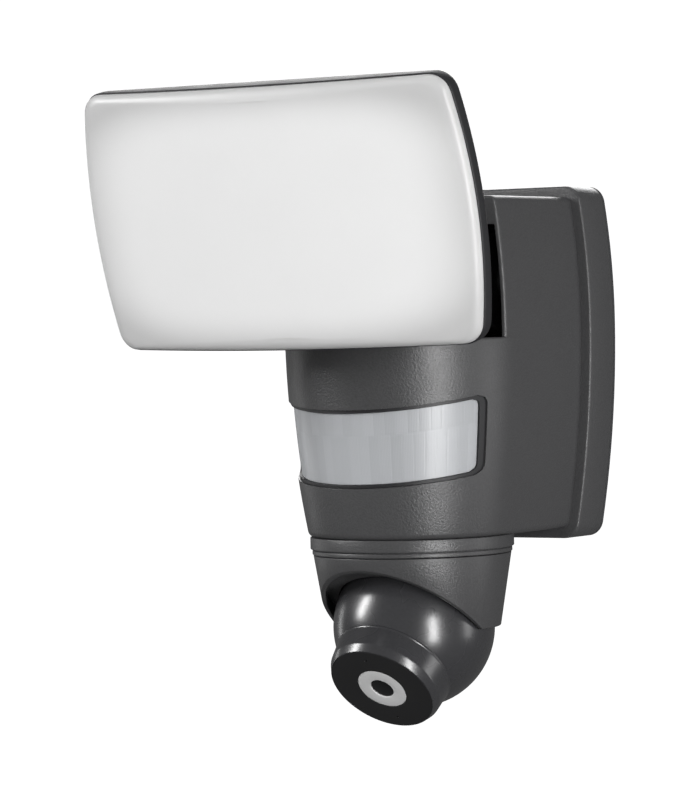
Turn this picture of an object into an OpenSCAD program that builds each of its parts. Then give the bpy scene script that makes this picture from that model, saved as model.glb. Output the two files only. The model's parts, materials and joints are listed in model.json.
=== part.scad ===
// Wall-mounted floodlight camera: wall box, body with a motion sensor,
// tilting light head above and a turning ball camera below.
// Frame: origin at the centre of the wall face, +Y into the wall, +X to the
// right as seen from the front, +Z up. Millimetres.

/* [Wall box] */
// Depth of the wall box, from the wall to its front
box_depth = 21.5; // [18:0.5:40]
// How far the wall box stands out past the body all round
box_margin = 4.7; // [3:0.1:12]
// Thickness of the wall box and its front plate
box_wall = 2.4; // [2:0.1:4]
// Thickness of the seal on the wall
seal_t = 1.5; // [1:0.1:3]
// Thickness of the mounting plate
mount_t = 3.5; // [2.5:0.1:5]
// Distance between the wall screws across
wall_screw_dx = 64; // [40:1:70]
// Distance between the wall screws up and down
wall_screw_dz = 104; // [80:1:110]
// Hole for each wall screw
wall_screw_d = 5.2; // [4:0.1:6]
// Bore of the cable seal
cable_d = 11; // [7:0.5:14]

/* [Body] */
// Height of the body
body_h = 142; // [130:1:180]
// Width at the widest level
body_w = 104; // [98:1:130]
// How much narrower the bottom edge is
body_narrow_bottom = 16.8; // [8:0.2:18]
// How much narrower the top edge is
body_narrow_top = 8.6; // [4:0.2:12]
// Height of the widest level above the middle
wide_up = 18; // [8:1:24]
// From the wall box to the flat upper face
body_reach = 63; // [60:1:90]
// How far the flat upper face stands in front of the camera's pan axis
face_ahead = 6; // [4:0.5:8]
// Radius of the body's corners seen from the front
body_corner = 3; // [2:0.2:8]
// Height of the ledge above the middle
ledge_up = 12; // [8:1:14]
// Wall of the body shell
shell_t = 2.5; // [2:0.1:3.5]

/* [Motion sensor] */
// Height of the lens band
pir_h = 30.2; // [24:0.2:34]
// Level of the middle of the band at its front, below the body's middle
pir_down = 33; // [28:0.5:38]
// Rise of the band towards the wall, in degrees
pir_rise = 9.2; // [0:0.2:12]
// Half of the angle that the lens wraps round
pir_wrap = 68; // [50:1:70]
// How deep the lens lies under the body's surface
pir_sunk = 2; // [1:0.1:3]
// Thickness of the lens
pir_t = 1.2; // [0.8:0.1:1.6]
// Width of the frame round the lens
pir_rim = 1.4; // [1:0.1:2.5]

/* [Head hinge] */
// Height of the pocket that the arm turns in
pocket_h = 47; // [44:0.5:49]
// Depth of the pocket
pocket_depth = 47; // [46:0.5:52]
// Diameter of the arm's drum
drum_d = 44; // [36:0.5:44]
// Width of the arm
arm_w = 82; // [60:1:84]
// Diameter of the hinge screws
hinge_pin_d = 6; // [5:0.5:8]
// Tilt of the head at rest, in degrees
head_tilt = 12.8; // [0:0.2:20]

/* [Head] */
// Width of the head at mid height
head_w = 186.6; // [160:0.5:230]
// Height of the head
head_h = 108.8; // [100:0.5:125]
// How much narrower the head is at its top and bottom
head_narrow = 12.2; // [6:0.2:20]
// Radius of the head's corners
head_corner = 9.5; // [6:0.5:16]
// Bow of the light cover across its width
head_bow = 7; // [3:0.2:12]
// From the hinge to the front edge of the light cover
head_reach = 102.4; // [98:0.2:120]
// Middle of the head above the hinge
head_up = 50.9; // [48:0.2:58]
// Depth of the light cover's edge
cover_edge = 4; // [3:0.2:6]
// Depth of the housing's straight rim
rim_depth = 5; // [4:0.2:8]
// Depth of the tapered back of the housing
back_depth = 35.4; // [30:0.2:38]
// Wall of the head housing
head_t = 2; // [1.6:0.1:3]
// Columns of LEDs
led_cols = 8; // [4:1:10]
// Rows of LEDs
led_rows = 4; // [2:1:5]

/* [Camera] */
// Diameter of the fixed collar
collar_d = 86.4; // [80:0.2:87]
// Height of the collar's band
collar_h = 5.3; // [4:0.1:8]
// Height of the bead under the band
bead_h = 2.2; // [1.5:0.1:3]
// Diameter of the holder at its top
holder_d = 84; // [80:0.2:86]
// Diameter of the holder at the level of the ball's middle
holder_low_d = 73.8; // [73.4:0.2:76]
// Slope of the holder's front cut, in degrees
holder_cut = 35.6; // [25:0.2:40]
// Wall of the holder round its front opening
holder_lip = 1.8; // [1.4:0.1:2.2]
// Depth of the hollow behind the holder's front cut
holder_hollow = 6; // [2:0.5:7]
// Diameter of the ball
ball_d = 68.6; // [60:0.2:68.8]
// From the body's bottom down to the middle of the ball
ball_drop = 39; // [38:0.2:44]
// Wall of the ball
ball_t = 2.2; // [1.8:0.1:3]
// Diameter of the pan hub
hub_d = 40; // [36:0.5:44]
// Diameter of the tilt axle
axle_d = 5; // [4:0.5:6]
// Direction of the camera below level at rest, in degrees
cam_down = 42.5; // [30:0.5:60]
// From the middle of the ball to the camera's front
snout_reach = 35.8; // [34:0.2:40]
// Diameter of the camera's front barrel
snout_d = 49.4; // [44:0.2:50]
// Length of the bezel at the barrel's front
bezel_len = 3.4; // [2:0.1:5]
// How much the bezel narrows towards its front, on the radius
bezel_in = 1.6; // [0.8:0.1:2.2]
// How much wider the barrel is where it meets the ball, on the radius
snout_flare = 1; // [0:0.1:1.4]
// Outer diameter of the light ring
ring_d = 22; // [18:0.2:26]
// Diameter of the lens opening
lens_d = 10.4; // [8:0.2:12]

/* [Fits] */
// Gap between turning faces
turn_gap = 0.3; // [0.2:0.05:0.5]
// Running clearance round a pin or hub
fit = 0.05; // [0.02:0.01:0.1]

/* [Hidden] */
$fn = 96;

big = 400;
body_lo = -body_h / 2;
body_hi = body_h / 2;
body_back = -box_depth;
face_y = body_back - body_reach;
pan_y = face_y + face_ahead;
half_w = body_w / 2;
low_arc = arc_radius(wide_up - body_lo, body_narrow_bottom / 2);
top_arc = arc_radius(body_hi - wide_up, body_narrow_top / 2);

// Head hinge, in the middle of the pocket's height
hinge_z = ledge_up + pocket_h / 2;
hinge_y = face_y + 20;
pocket_back = face_y + pocket_depth;
pocket_wall = 1.8;
washer_t = 1.2;
ear_t = 2.5;
bracket_back = 2.5;
ear_x = arm_w / 2 + washer_t;
hinge_head_h = 2.6;
arm_screw_dx = 56;
arm_screw_dz = 12;

// Head planes, measured forwards from the hinge in the head's own frame
cover_y = -head_reach;
rim_y = cover_y + cover_edge;
taper_y = rim_y + rim_depth;
back_y = taper_y + back_depth;
head_side_arc = arc_radius(head_h / 2, head_narrow / 2);
bow_arc = arc_radius(head_w / 2, head_bow);
back_half_w = 62;
back_top = 33;
back_low = 28;
arm_low = head_up - back_low + 1;
arm_top = arm_low + 23;
arm_screw_z = (arm_low + arm_top) / 2;
wire_d = 9;
seal_h = 0.8;
sink_t = 2;
board_t = 1.6;
led_h = 0.8;
sink_y = taper_y + 3;
led_dx = 14.5;
led_dz = 18;
sink_w = 152;
sink_h = 84;
sink_post = [66, 34];

// Camera levels
collar_lo = body_lo - collar_h;
bead_lo = collar_lo - bead_h;
holder_hi = bead_lo - turn_gap;
ball_z = body_lo - ball_drop;
hub_hi = body_lo + shell_t + turn_gap;
ball_r = ball_d / 2;
socket_r = ball_r + 0.5;
cut_start = 4.4;
flange_t = 2;
flange_d = 28;
retainer_d = 50;
post_w = 8;
post_t = 8;
window_t = 1.5;
window_lip = 0.4;
window_d = snout_d - 2 * bezel_in - 2 * window_lip;
lens_t = 2;
slot_back = 42.5;
slot_half = 21.4;
snout_wall = 2.4;

function arc_radius(rise, drop) = (rise * rise + drop * drop) / (2 * drop);

// Half width of the body at level z
function half_at(z) = let (arc = z < wide_up ? low_arc : top_arc)
    half_w - arc + sqrt(arc * arc - pow(z - wide_up, 2));

// ---- shared outlines and frames ----

module two_arcs(arc, half) {
    intersection() {
        translate([half - arc, wide_up]) circle(r = arc);
        translate([arc - half, wide_up]) circle(r = arc);
    }
}

// What a corner radius takes off an outline's upper right corner. The outline's side is an
// arc that is widest at level 0, and its top edge is straight and lies a rise above that
module off_corner(arc, half, rise, r) {
    out = sqrt(pow(arc - r, 2) - pow(rise - r, 2));
    turn = atan2(rise - r, out);
    translate([half - arc + out, rise - r]) difference() {
        polygon([[0, 0], [0, r + 1], [3 * r, r + 1], [3 * r * cos(turn), 3 * r * sin(turn)]]);
        circle(r = r);
    }
}

// Barrel outline seen from the front, grown outwards by d, between two levels
module barrel(d, lo, hi) {
    r = max(body_corner + d, 0.8);
    difference() {
        union() {
            intersection() {
                two_arcs(top_arc + d, half_w + d);
                translate([-big / 2, wide_up]) square([big, hi - wide_up]);
            }
            intersection() {
                two_arcs(low_arc + d, half_w + d);
                translate([-big / 2, lo]) square([big, wide_up - lo]);
            }
        }
        for (s = [0, 1]) mirror([s, 0]) translate([0, wide_up]) {
            off_corner(top_arc + d, half_w + d, hi - wide_up, r);
            mirror([0, 1]) off_corner(low_arc + d, half_w + d, wide_up - lo, r);
        }
    }
}

module band(lo, hi) {
    translate([-big / 2, lo]) square([big, hi - lo]);
}

// Extrudes a front outline (x across, y up) between two depths
module along_y(from, to) {
    translate([0, to, 0]) rotate([90, 0, 0]) linear_extrude(to - from) children();
}

// Extrudes a side outline (x is depth, y is up) across the width w
module along_x(w) {
    rotate([90, 0, 90]) translate([0, 0, -w / 2]) linear_extrude(w) children();
}

// Round lower front of the body, grown outwards by d
module round_front(d, lo, hi) {
    translate([0, pan_y, 0]) rotate([0, 0, 180]) rotate_extrude(angle = 180)
        intersection() {
            barrel(d, lo, hi);
            translate([0, -big / 2]) square(big);
        }
}

// Whole body, grown outwards by d
module body_form(d) {
    lo = body_lo - d;
    hi = body_hi + d;
    along_y(pan_y, body_back) barrel(d, lo, hi);
    along_y(face_y - d, pan_y) intersection() {
        barrel(d, lo, hi);
        band(ledge_up, hi);
    }
    round_front(d, lo, ledge_up + d);
}

// Moves what is drawn round the hinge into the head's tilted frame
module head_frame() {
    translate([0, hinge_y, hinge_z]) rotate([head_tilt, 0, 0]) children();
}

// Camera frame: +Z runs out along the lens, +Y is up on its front
module camera_frame() {
    translate([0, pan_y, ball_z]) rotate([90 + cam_down, 0, 0]) children();
}

// Slab between two planes that rise towards the wall
module sensor_slab(h) {
    front = pan_y - half_at(-pir_down);
    translate([0, front, -pir_down]) rotate([pir_rise, 0, 0])
        translate([-big / 2, -20, -h / 2]) cube([big, 120, h]);
}

// Wedge in plan, as wide as an angle to either side of straight ahead
module sensor_wedge(angle) {
    r = 120;
    translate([0, pan_y, -pir_down - 60]) linear_extrude(120)
        polygon([[0, 0], [-r * sin(angle), -r * cos(angle)], [0, -2 * r],
            [r * sin(angle), -r * cos(angle)]]);
}

// Part of a curved skin inside the sensor's window
module sensor_skin(out, in, h, angle) {
    intersection() {
        difference() {
            round_front(-out, body_lo, ledge_up);
            round_front(-in, body_lo - 1, ledge_up + 1);
        }
        sensor_slab(h);
        sensor_wedge(angle);
    }
}

// Screw with its head's underside at z = 0 and its shank down
module screw(d, l, head_d, head_h) {
    translate([0, 0, -l]) cylinder(d = d, h = l);
    difference() {
        cylinder(d = head_d, h = head_h);
        translate([0, 0, head_h / 2]) cylinder(d = d * 0.7, h = head_h, $fn = 6);
    }
}

module at_corners(dx, dz) {
    for (x = [-dx / 2, dx / 2], z = [-dz / 2, dz / 2]) translate([x, 0, z]) children();
}

// ---- wall box ----

box_lo = body_lo - box_margin;
box_hi = body_hi + box_margin;
box_screw_dx = 70;
box_post_dx = 40;
box_screw_dz = body_h - 2 * shell_t - 8;
box_screw_d = 4;
wiring_z = -30;
wiring_d = 26;
cable_z = -22;
groove_d = 20;

module wall_seal() {
    color("dimgray") along_y(-seal_t, 0) difference() {
        barrel(box_margin, box_lo, box_hi);
        barrel(box_margin - box_wall, box_lo + box_wall, box_hi - box_wall);
    }
}

module mounting_plate() {
    inset = box_margin - box_wall - 0.3;
    color("silver") difference() {
        along_y(-mount_t, 0) barrel(inset, box_lo + box_wall + 0.3, box_hi - box_wall - 0.3);
        at_corners(wall_screw_dx, wall_screw_dz)
            rotate([90, 0, 0]) cylinder(d = wall_screw_d, h = 20, center = true);
        translate([0, 0, cable_z]) rotate([90, 0, 0]) cylinder(d = groove_d, h = 20, center = true);
        at_corners(box_post_dx, box_screw_dz)
            rotate([90, 0, 0]) cylinder(d = 2.6, h = 20, center = true);
    }
}

module cable_seal() {
    lip = 2;
    color("black") translate([0, 0, cable_z]) rotate([90, 0, 0]) difference() {
        union() {
            cylinder(d = groove_d, h = mount_t);
            translate([0, 0, mount_t]) cylinder(d = groove_d + 2 * lip, h = 1.6);
            translate([0, 0, mount_t + 1.6]) cylinder(d1 = groove_d, d2 = cable_d + 3, h = 5);
        }
        translate([0, 0, -1]) cylinder(d = cable_d, h = mount_t + 20);
    }
}

module terminal_block() {
    w = 32;
    h = 12;
    poles = 3;
    color("ivory") translate([0, -mount_t, 4]) difference() {
        translate([-w / 2, -11, 0]) cube([w, 11, h]);
        for (i = [0:poles - 1]) translate([(i - 1) * 10, -6, -1]) cylinder(d = 4, h = h + 2);
    }
}

module power_module() {
    color("slategray") translate([-30, -mount_t - 13, 22]) {
        difference() {
            cube([60, 13, 30]);
            translate([2, -1, 2]) cube([56, 1.8, 26]);
        }
    }
}

module wall_box() {
    color("#4a4a4c") difference() {
        union() {
            difference() {
                along_y(-box_depth, -seal_t) barrel(box_margin, box_lo, box_hi);
                along_y(-box_depth + box_wall, 1)
                    barrel(box_margin - box_wall, box_lo + box_wall, box_hi - box_wall);
            }
            at_corners(box_post_dx, box_screw_dz) translate([0, -mount_t, 0]) rotate([90, 0, 0])
                cylinder(d = 7, h = box_depth - mount_t - 1);
        }
        translate([0, 0, wiring_z]) rotate([90, 0, 0]) cylinder(d = wiring_d, h = big, center = true);
        at_corners(box_screw_dx, box_screw_dz)
            rotate([90, 0, 0]) cylinder(d = box_screw_d + 0.4, h = big, center = true);
    }
}

// Screws from inside the wall box into the body's corner posts
module box_screws() {
    color("silver") at_corners(box_screw_dx, box_screw_dz)
        translate([0, -box_depth + box_wall, 0]) rotate([-90, 0, 0]) screw(box_screw_d, 12, 7.5, 2.6);
}

// ---- body ----

post_d = 9;
chassis_t = 2.5;
chassis_gap = 0.3;
board_post_h = 6;
board_x = 34;
board_lo = -58;
board_hi = 4;
board_y = body_back - chassis_t - board_post_h;

module pocket_outline(d) {
    intersection() {
        barrel(-pocket_wall + d, body_lo, body_hi);
        band(ledge_up - d, ledge_up + pocket_h + d);
    }
}

module body_shell() {
    color("#48484a") difference() {
        body_form(0);
        difference() {
            union() {
                body_form(-shell_t);
                along_y(body_back - 10, body_back + 1)
                    barrel(-shell_t, body_lo + shell_t, body_hi - shell_t);
            }
            along_y(face_y, pocket_back + shell_t) pocket_outline(shell_t);
            at_corners(box_screw_dx, box_screw_dz)
                translate([0, body_back, 0]) rotate([90, 0, 0]) cylinder(d = post_d, h = 16);
        }
        along_y(face_y - 1, pocket_back) pocket_outline(0);
        at_corners(box_screw_dx, box_screw_dz)
            translate([0, body_back + 1, 0]) rotate([90, 0, 0]) cylinder(d = box_screw_d, h = 14);
        at_corners(bracket_dx, bracket_dz)
            translate([0, pocket_back, hinge_z]) rotate([90, 0, 0]) cylinder(d = 4, h = 20, center = true);
        translate([0, pocket_back, hinge_z]) rotate([90, 0, 0])
            cylinder(d = wire_d + 3, h = 20, center = true);
        intersection() {
            sensor_slab(pir_h + 2 * pir_rim);
            sensor_wedge(pir_wrap + 4);
            round_front(1, body_lo, ledge_up);
        }
        translate([0, pan_y, body_lo - 1]) cylinder(d = hub_d + 2, h = shell_t + 2);
        collar_holes(3.4, body_lo - 1, shell_t + 2);
    }
}

module chassis_plate() {
    color("#2c2c2e") difference() {
        union() {
            along_y(body_back - chassis_t, body_back)
                barrel(-shell_t - chassis_gap, body_lo + shell_t + chassis_gap,
                    body_hi - shell_t - chassis_gap);
            for (x = [-board_x + 5, board_x - 5], z = [board_lo + 5, board_hi - 5])
                translate([x, body_back - chassis_t, z]) rotate([90, 0, 0])
                    cylinder(d = 6, h = board_post_h);
        }
        at_corners(box_screw_dx, box_screw_dz)
            rotate([90, 0, 0]) cylinder(d = post_d + 0.6, h = big, center = true);
        translate([0, 0, wiring_z]) rotate([90, 0, 0]) cylinder(d = wiring_d - 6, h = big, center = true);
    }
}

module main_board() {
    color("darkgreen") translate([-board_x, board_y - board_t, board_lo])
        cube([2 * board_x, board_t, board_hi - board_lo]);
}

module board_components() {
    front = board_y - board_t;
    color("gray") {
        translate([-28, front - 3, -20]) cube([22, 3, 18]);
        translate([2, front - 2, -22]) cube([16, 2, 16]);
        translate([8, front - 9, -46]) cube([18, 9, 12]);
        for (i = [0:2]) translate([-24 + 11 * i, front, -44]) rotate([90, 0, 0]) cylinder(d = 8, h = 12);
        translate([-14, front - 6, -56.5]) cube([28, 6, 5]);
    }
}

// Stuck to the shell's ceiling
module wifi_antenna() {
    color("khaki") translate([-20, face_y + 14, body_hi - shell_t - 1]) cube([40, 9, 1]);
}

// ---- motion sensor ----

cradle_ahead = 15.5;
cradle_t = 2;
pir_board_t = 1.6;

module sensor_frame() {
    color("#1c1c1e") difference() {
        sensor_skin(0.8, 5, pir_h + 2 * pir_rim, pir_wrap + 4);
        sensor_skin(0, 10, pir_h, pir_wrap);
    }
}

module sensor_lens() {
    color("gainsboro") sensor_skin(pir_sunk, pir_sunk + pir_t, pir_h, pir_wrap);
}

module sensor_cradle() {
    color("#2c2c2e") intersection() {
        translate([-half_w, pan_y - cradle_ahead, -pir_down - 12])
            cube([body_w, cradle_t, 30]);
        round_front(-5.3, body_lo, ledge_up);
    }
}

module sensor_board() {
    y = pan_y - cradle_ahead;
    color("darkgreen") translate([-22, y - pir_board_t, -pir_down - 10]) cube([44, pir_board_t, 24]);
}

module motion_sensors() {
    y = pan_y - cradle_ahead - pir_board_t;
    color("silver") for (x = [-14, 0, 14])
        translate([x, y, -pir_down + 2]) rotate([90, 0, 0]) {
            cylinder(d = 9.2, h = 0.6);
            translate([0, 0, 0.6]) cylinder(d = 8.2, h = 4);
        }
}

// ---- head hinge ----

bracket_dx = 50;
bracket_dz = 26;

module hinge_bracket() {
    back = pocket_back;
    front = back - bracket_back;
    color("dimgray") difference() {
        union() {
            translate([-ear_x - ear_t, front, hinge_z - 18]) cube([2 * (ear_x + ear_t), bracket_back, 36]);
            for (s = [-1, 1]) translate([s * (ear_x + ear_t / 2), 0, 0]) {
                translate([-ear_t / 2, hinge_y, hinge_z - 10]) cube([ear_t, front - hinge_y + 1, 20]);
                translate([-ear_t / 2, hinge_y, hinge_z]) rotate([0, 90, 0]) cylinder(r = 10, h = ear_t);
            }
        }
        translate([0, hinge_y, hinge_z]) rotate([0, 90, 0])
            cylinder(d = hinge_pin_d, h = big, center = true);
        at_corners(bracket_dx, bracket_dz) translate([0, front, hinge_z]) rotate([90, 0, 0])
            cylinder(d = 4, h = 20, center = true);
        translate([0, front, hinge_z]) rotate([90, 0, 0])
            cylinder(d = wire_d + 3, h = 20, center = true);
    }
}

module bracket_screws() {
    color("silver") at_corners(bracket_dx, bracket_dz)
        translate([0, pocket_back + shell_t, hinge_z]) rotate([-90, 0, 0])
            screw(4, shell_t + bracket_back, 7, 2.2);
}

module friction_washers() {
    color("black") for (s = [-1, 1])
        translate([s * (arm_w / 2 + washer_t / 2), hinge_y, hinge_z]) rotate([0, 90, 0])
            difference() {
                cylinder(r = 9, h = washer_t, center = true);
                cylinder(d = hinge_pin_d, h = 10, center = true);
            }
}

// Each passes the ear and a washer and turns in the arm's bush
module hinge_screws() {
    reach = 14;
    color("silver") for (s = [-1, 1])
        translate([s * (ear_x + ear_t), hinge_y, hinge_z]) rotate([0, s * 90, 0])
            screw(hinge_pin_d, ear_t + washer_t + reach, 11, hinge_head_h);
}

module head_arm() {
    color("#48484a") head_frame() difference() {
        union() {
            rotate([0, 90, 0]) cylinder(d = drum_d, h = arm_w, center = true);
            along_x(arm_w) polygon([[0, 0], [-10, -17.5], [-20, -12], [back_y, arm_low],
                [back_y, arm_top], [back_y + 12, arm_top - 1], [-36, 20], [-20, 6]]);
        }
        for (s = [-1, 1]) translate([s * arm_w / 2, 0, 0]) rotate([0, 90, 0])
            cylinder(d = hinge_pin_d + 2 * fit, h = 34, center = true);
        at_corners(arm_screw_dx, arm_screw_dz) translate([0, back_y, arm_screw_z]) rotate([90, 0, 0])
            cylinder(d = 4, h = 24, center = true);
        rotate([atan2(-back_y, arm_screw_z), 0, 0]) translate([0, 0, -big / 4])
            cylinder(d = wire_d, h = big / 2);
    }
}

module arm_screws() {
    color("silver") head_frame() at_corners(arm_screw_dx, arm_screw_dz)
        translate([0, back_y - head_t, arm_screw_z]) rotate([90, 0, 0]) screw(4, 11 + head_t, 7, 2.2);
}

// ---- head ----

// Front outline of the head, grown by d
module head_outline(d) {
    half = head_w / 2 + d;
    arc = head_side_arc + d;
    translate([0, head_up]) difference() {
        intersection() {
            translate([half - arc, 0]) circle(r = arc);
            translate([arc - half, 0]) circle(r = arc);
            square([big, head_h + 2 * d], center = true);
        }
        for (s = [0, 1], t = [0, 1]) mirror([s, 0]) mirror([0, t])
            off_corner(arc, half, head_h / 2 + d, head_corner + d);
    }
}

// Everything behind a bowed surface that lies at depth y at the head's edges
module behind_bow(y) {
    translate([0, y - head_bow + bow_arc, head_up - big / 2]) cylinder(r = bow_arc, h = big, $fn = 360);
}

// Bowed slab between two depths inside an outline
module bowed(from, to) {
    difference() {
        intersection() {
            along_y(from - head_bow - 1, to) children();
            behind_bow(from);
        }
        intersection() {
            along_y(from - head_bow - 2, to + 1) square(big * 2, center = true);
            behind_bow(to);
        }
    }
}

// Rim and tapered back of the housing, shrunk inwards by d
module housing_form(d, front) {
    edge = head_w / 2 - d;
    top = head_up + head_h / 2 - d;
    low = head_up - head_h / 2 + d;
    intersection() {
        along_y(front - head_bow - 1, back_y - d) head_outline(-d);
        behind_bow(front);
        translate([0, 0, head_up - big / 2]) linear_extrude(big)
            polygon([[-edge, -big], [-edge, taper_y], [-back_half_w + d, back_y - d],
                [back_half_w - d, back_y - d], [edge, taper_y], [edge, -big]]);
        along_x(big) polygon([[-big, low], [taper_y, low], [back_y - d, head_up - back_low + d],
            [back_y - d, head_up + back_top - d], [taper_y, top], [-big, top]]);
    }
}

module head_housing() {
    color("#303032") head_frame() difference() {
        union() {
            difference() {
                housing_form(0, rim_y);
                housing_form(head_t, rim_y - 2);
            }
            intersection() {
                housing_form(head_t / 2, rim_y);
                for (x = [-sink_post[0], sink_post[0]], z = [-sink_post[1], sink_post[1]])
                    translate([x, sink_y, head_up + z]) rotate([-90, 0, 0]) cylinder(d = 7, h = 40);
            }
        }
        for (x = [-sink_post[0], sink_post[0]], z = [-sink_post[1], sink_post[1]])
            translate([x, sink_y - 1, head_up + z]) rotate([-90, 0, 0]) cylinder(d = 3, h = 9);
        at_corners(arm_screw_dx, arm_screw_dz) translate([0, back_y, arm_screw_z]) rotate([90, 0, 0])
            cylinder(d = 4.4, h = 20, center = true);
        translate([0, back_y, arm_screw_z]) rotate([90, 0, 0]) cylinder(d = 10, h = 20, center = true);
    }
}

module led_driver() {
    color("slategray") head_frame() translate([-32, back_y - head_t - 11, head_up - 2])
        cube([64, 11, 26]);
}

module heat_sink() {
    fin_n = 7;
    fin_dx = 11;
    color("lightgray") head_frame() difference() {
        union() {
            translate([-sink_w / 2, sink_y - sink_t, head_up - sink_h / 2]) cube([sink_w, sink_t, sink_h]);
            for (i = [0:fin_n - 1]) translate([(i - (fin_n - 1) / 2) * fin_dx - 0.75, sink_y, head_up - 24])
                cube([1.5, 8, 48]);
        }
        for (x = [-sink_post[0], sink_post[0]], z = [-sink_post[1], sink_post[1]])
            translate([x, sink_y, head_up + z]) rotate([90, 0, 0]) cylinder(d = 3.4, h = 20, center = true);
    }
}

module heat_sink_screws() {
    color("silver") head_frame()
        for (x = [-sink_post[0], sink_post[0]], z = [-sink_post[1], sink_post[1]])
            translate([x, sink_y - sink_t, head_up + z]) rotate([90, 0, 0]) screw(3, 9, 5.5, 1.8);
}

module led_board() {
    color("white") head_frame()
        translate([-sink_w / 2 + 14, sink_y - sink_t - board_t, head_up - sink_h / 2 + 6])
            cube([sink_w - 28, board_t, sink_h - 12]);
}

module each_led() {
    for (i = [0:led_cols - 1], j = [0:led_rows - 1])
        translate([(i - (led_cols - 1) / 2) * led_dx, sink_y - sink_t - board_t,
            head_up + (j - (led_rows - 1) / 2) * led_dz]) children();
}

module leds() {
    color("khaki") head_frame() each_led() translate([-1.75, -led_h, -1.4]) cube([3.5, led_h, 2.8]);
}

// White tray round the LEDs, with sides up to the light cover
module reflector() {
    side = 1;
    y = sink_y - sink_t - board_t;
    color("white") head_frame() difference() {
        translate([-sink_w / 2 + 14, y - 6, head_up - sink_h / 2 + 6]) cube([sink_w - 28, 6, sink_h - 12]);
        translate([-sink_w / 2 + 14 + side, y - 8, head_up - sink_h / 2 + 6 + side])
            cube([sink_w - 28 - 2 * side, 7.4, sink_h - 12 - 2 * side]);
        each_led() translate([-2.6, -2, -2.2]) cube([5.2, 4, 4.4]);
    }
}

module head_seal() {
    color("black") head_frame() bowed(rim_y - seal_h, rim_y) difference() {
        head_outline(-1.4);
        head_outline(-3.4);
    }
}

module light_cover() {
    t = 2;
    color("whitesmoke") head_frame() difference() {
        union() {
            bowed(cover_y, rim_y - seal_h) head_outline(-0.6);
            bowed(rim_y - seal_h - 0.01, rim_y) difference() {
                head_outline(-0.6);
                head_outline(-1.4);
            }
        }
        bowed(cover_y + t, rim_y + 1) head_outline(-3.4);
    }
}

// ---- camera mount ----

module collar_holes(d, from, h) {
    for (a = [30:120:270]) translate([0, pan_y, from]) rotate([0, 0, a]) translate([31, 0, 0])
        cylinder(d = d, h = h);
}

module collar() {
    color("#48484a") difference() {
        translate([0, pan_y, 0]) {
            translate([0, 0, collar_lo]) cylinder(d = collar_d, h = collar_h);
            translate([0, 0, bead_lo]) cylinder(d = collar_d - 1.6, h = bead_h);
        }
        translate([0, pan_y, bead_lo - 1]) cylinder(d = hub_d + 2 * fit, h = 20);
        collar_holes(3, body_lo - 5, 10);
    }
}

module collar_screws() {
    color("silver") for (a = [30:120:270]) translate([0, pan_y, body_lo + shell_t])
        rotate([0, 0, a]) translate([31, 0, 0]) screw(3, shell_t + 4.5, 5.5, 1.8);
}

// What the sloping front cut takes off, round the middle of the ball
module front_cut() {
    front = -holder_d;
    along_x(big) polygon([[-cut_start, 0], [-cut_start, -10], [front, -10],
        [front, tan(holder_cut) * (-front - cut_start)]]);
}

module camera_holder() {
    color("#48484a") translate([0, pan_y, 0]) difference() {
        union() {
            translate([0, 0, ball_z])
                cylinder(r1 = holder_low_d / 2, r2 = holder_d / 2, h = holder_hi - ball_z);
            translate([0, 0, holder_hi]) cylinder(d = hub_d, h = hub_hi - holder_hi);
        }
        translate([0, 0, ball_z]) sphere(r = socket_r);
        translate([0, 0, ball_z]) front_cut();
        intersection() {
            translate([0, holder_hollow * sin(holder_cut), ball_z + holder_hollow * cos(holder_cut)])
                front_cut();
            translate([0, 0, ball_z]) cylinder(r1 = holder_low_d / 2 - holder_lip,
                r2 = holder_d / 2 - holder_lip, h = holder_hi - ball_z);
            translate([0, 0, ball_z]) cylinder(d = holder_d, h = holder_hi - ball_z - holder_lip);
        }
        translate([0, 0, hub_hi - flange_t]) cylinder(d = flange_d, h = 10);
        translate([0, 0, ball_z]) cylinder(d = 20, h = big);
        for (a = [0:120:240]) rotate([0, 0, a]) translate([17, 0, hub_hi - 6]) cylinder(d = 2.5, h = 10);
    }
}

module pan_retainer() {
    color("#2c2c2e") translate([0, pan_y, hub_hi]) difference() {
        cylinder(d = retainer_d, h = 2);
        translate([0, 0, -1]) cylinder(d = 20, h = 4);
        for (a = [0:120:240]) rotate([0, 0, a]) translate([17, 0, -1]) cylinder(d = 2.9, h = 4);
    }
}

module retainer_screws() {
    color("silver") translate([0, pan_y, hub_hi + 2])
        for (a = [0:120:240]) rotate([0, 0, a]) translate([17, 0, 0]) screw(2.5, 6.5, 4.6, 1.6);
}

// Hangs from the hub and carries the ball's axle
module tilt_post() {
    top = socket_r + 0.2;
    color("#2c2c2e") translate([0, pan_y, 0]) difference() {
        union() {
            translate([0, 0, hub_hi - flange_t]) cylinder(d = flange_d, h = flange_t);
            translate([0, 0, ball_z + top]) cylinder(d = 20, h = hub_hi - flange_t - ball_z - top);
            translate([-post_w / 2, -post_t / 2, ball_z]) cube([post_w, post_t, top]);
            translate([0, 0, ball_z]) rotate([0, 90, 0]) cylinder(r = 6, h = post_w, center = true);
        }
        translate([0, 0, ball_z]) rotate([0, 90, 0]) cylinder(d = axle_d, h = 40, center = true);
    }
}

axle_half = 24;
boss_x = post_w / 2 + turn_gap;

module tilt_axle() {
    color("silver") translate([0, pan_y, ball_z]) rotate([0, 90, 0])
        cylinder(d = axle_d, h = 2 * axle_half, center = true);
}

// ---- ball camera ----

barrel_lo = sqrt(pow(ball_r, 2) - pow(snout_d / 2, 2));
mouth_d = snout_d - 2 * snout_wall;
board_z = 13;
camera_screw_r = 18.5;
barrel_front_t = 3;
lens_back = snout_reach - window_t - 1;
pin_hole_y = 17.5;

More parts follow.
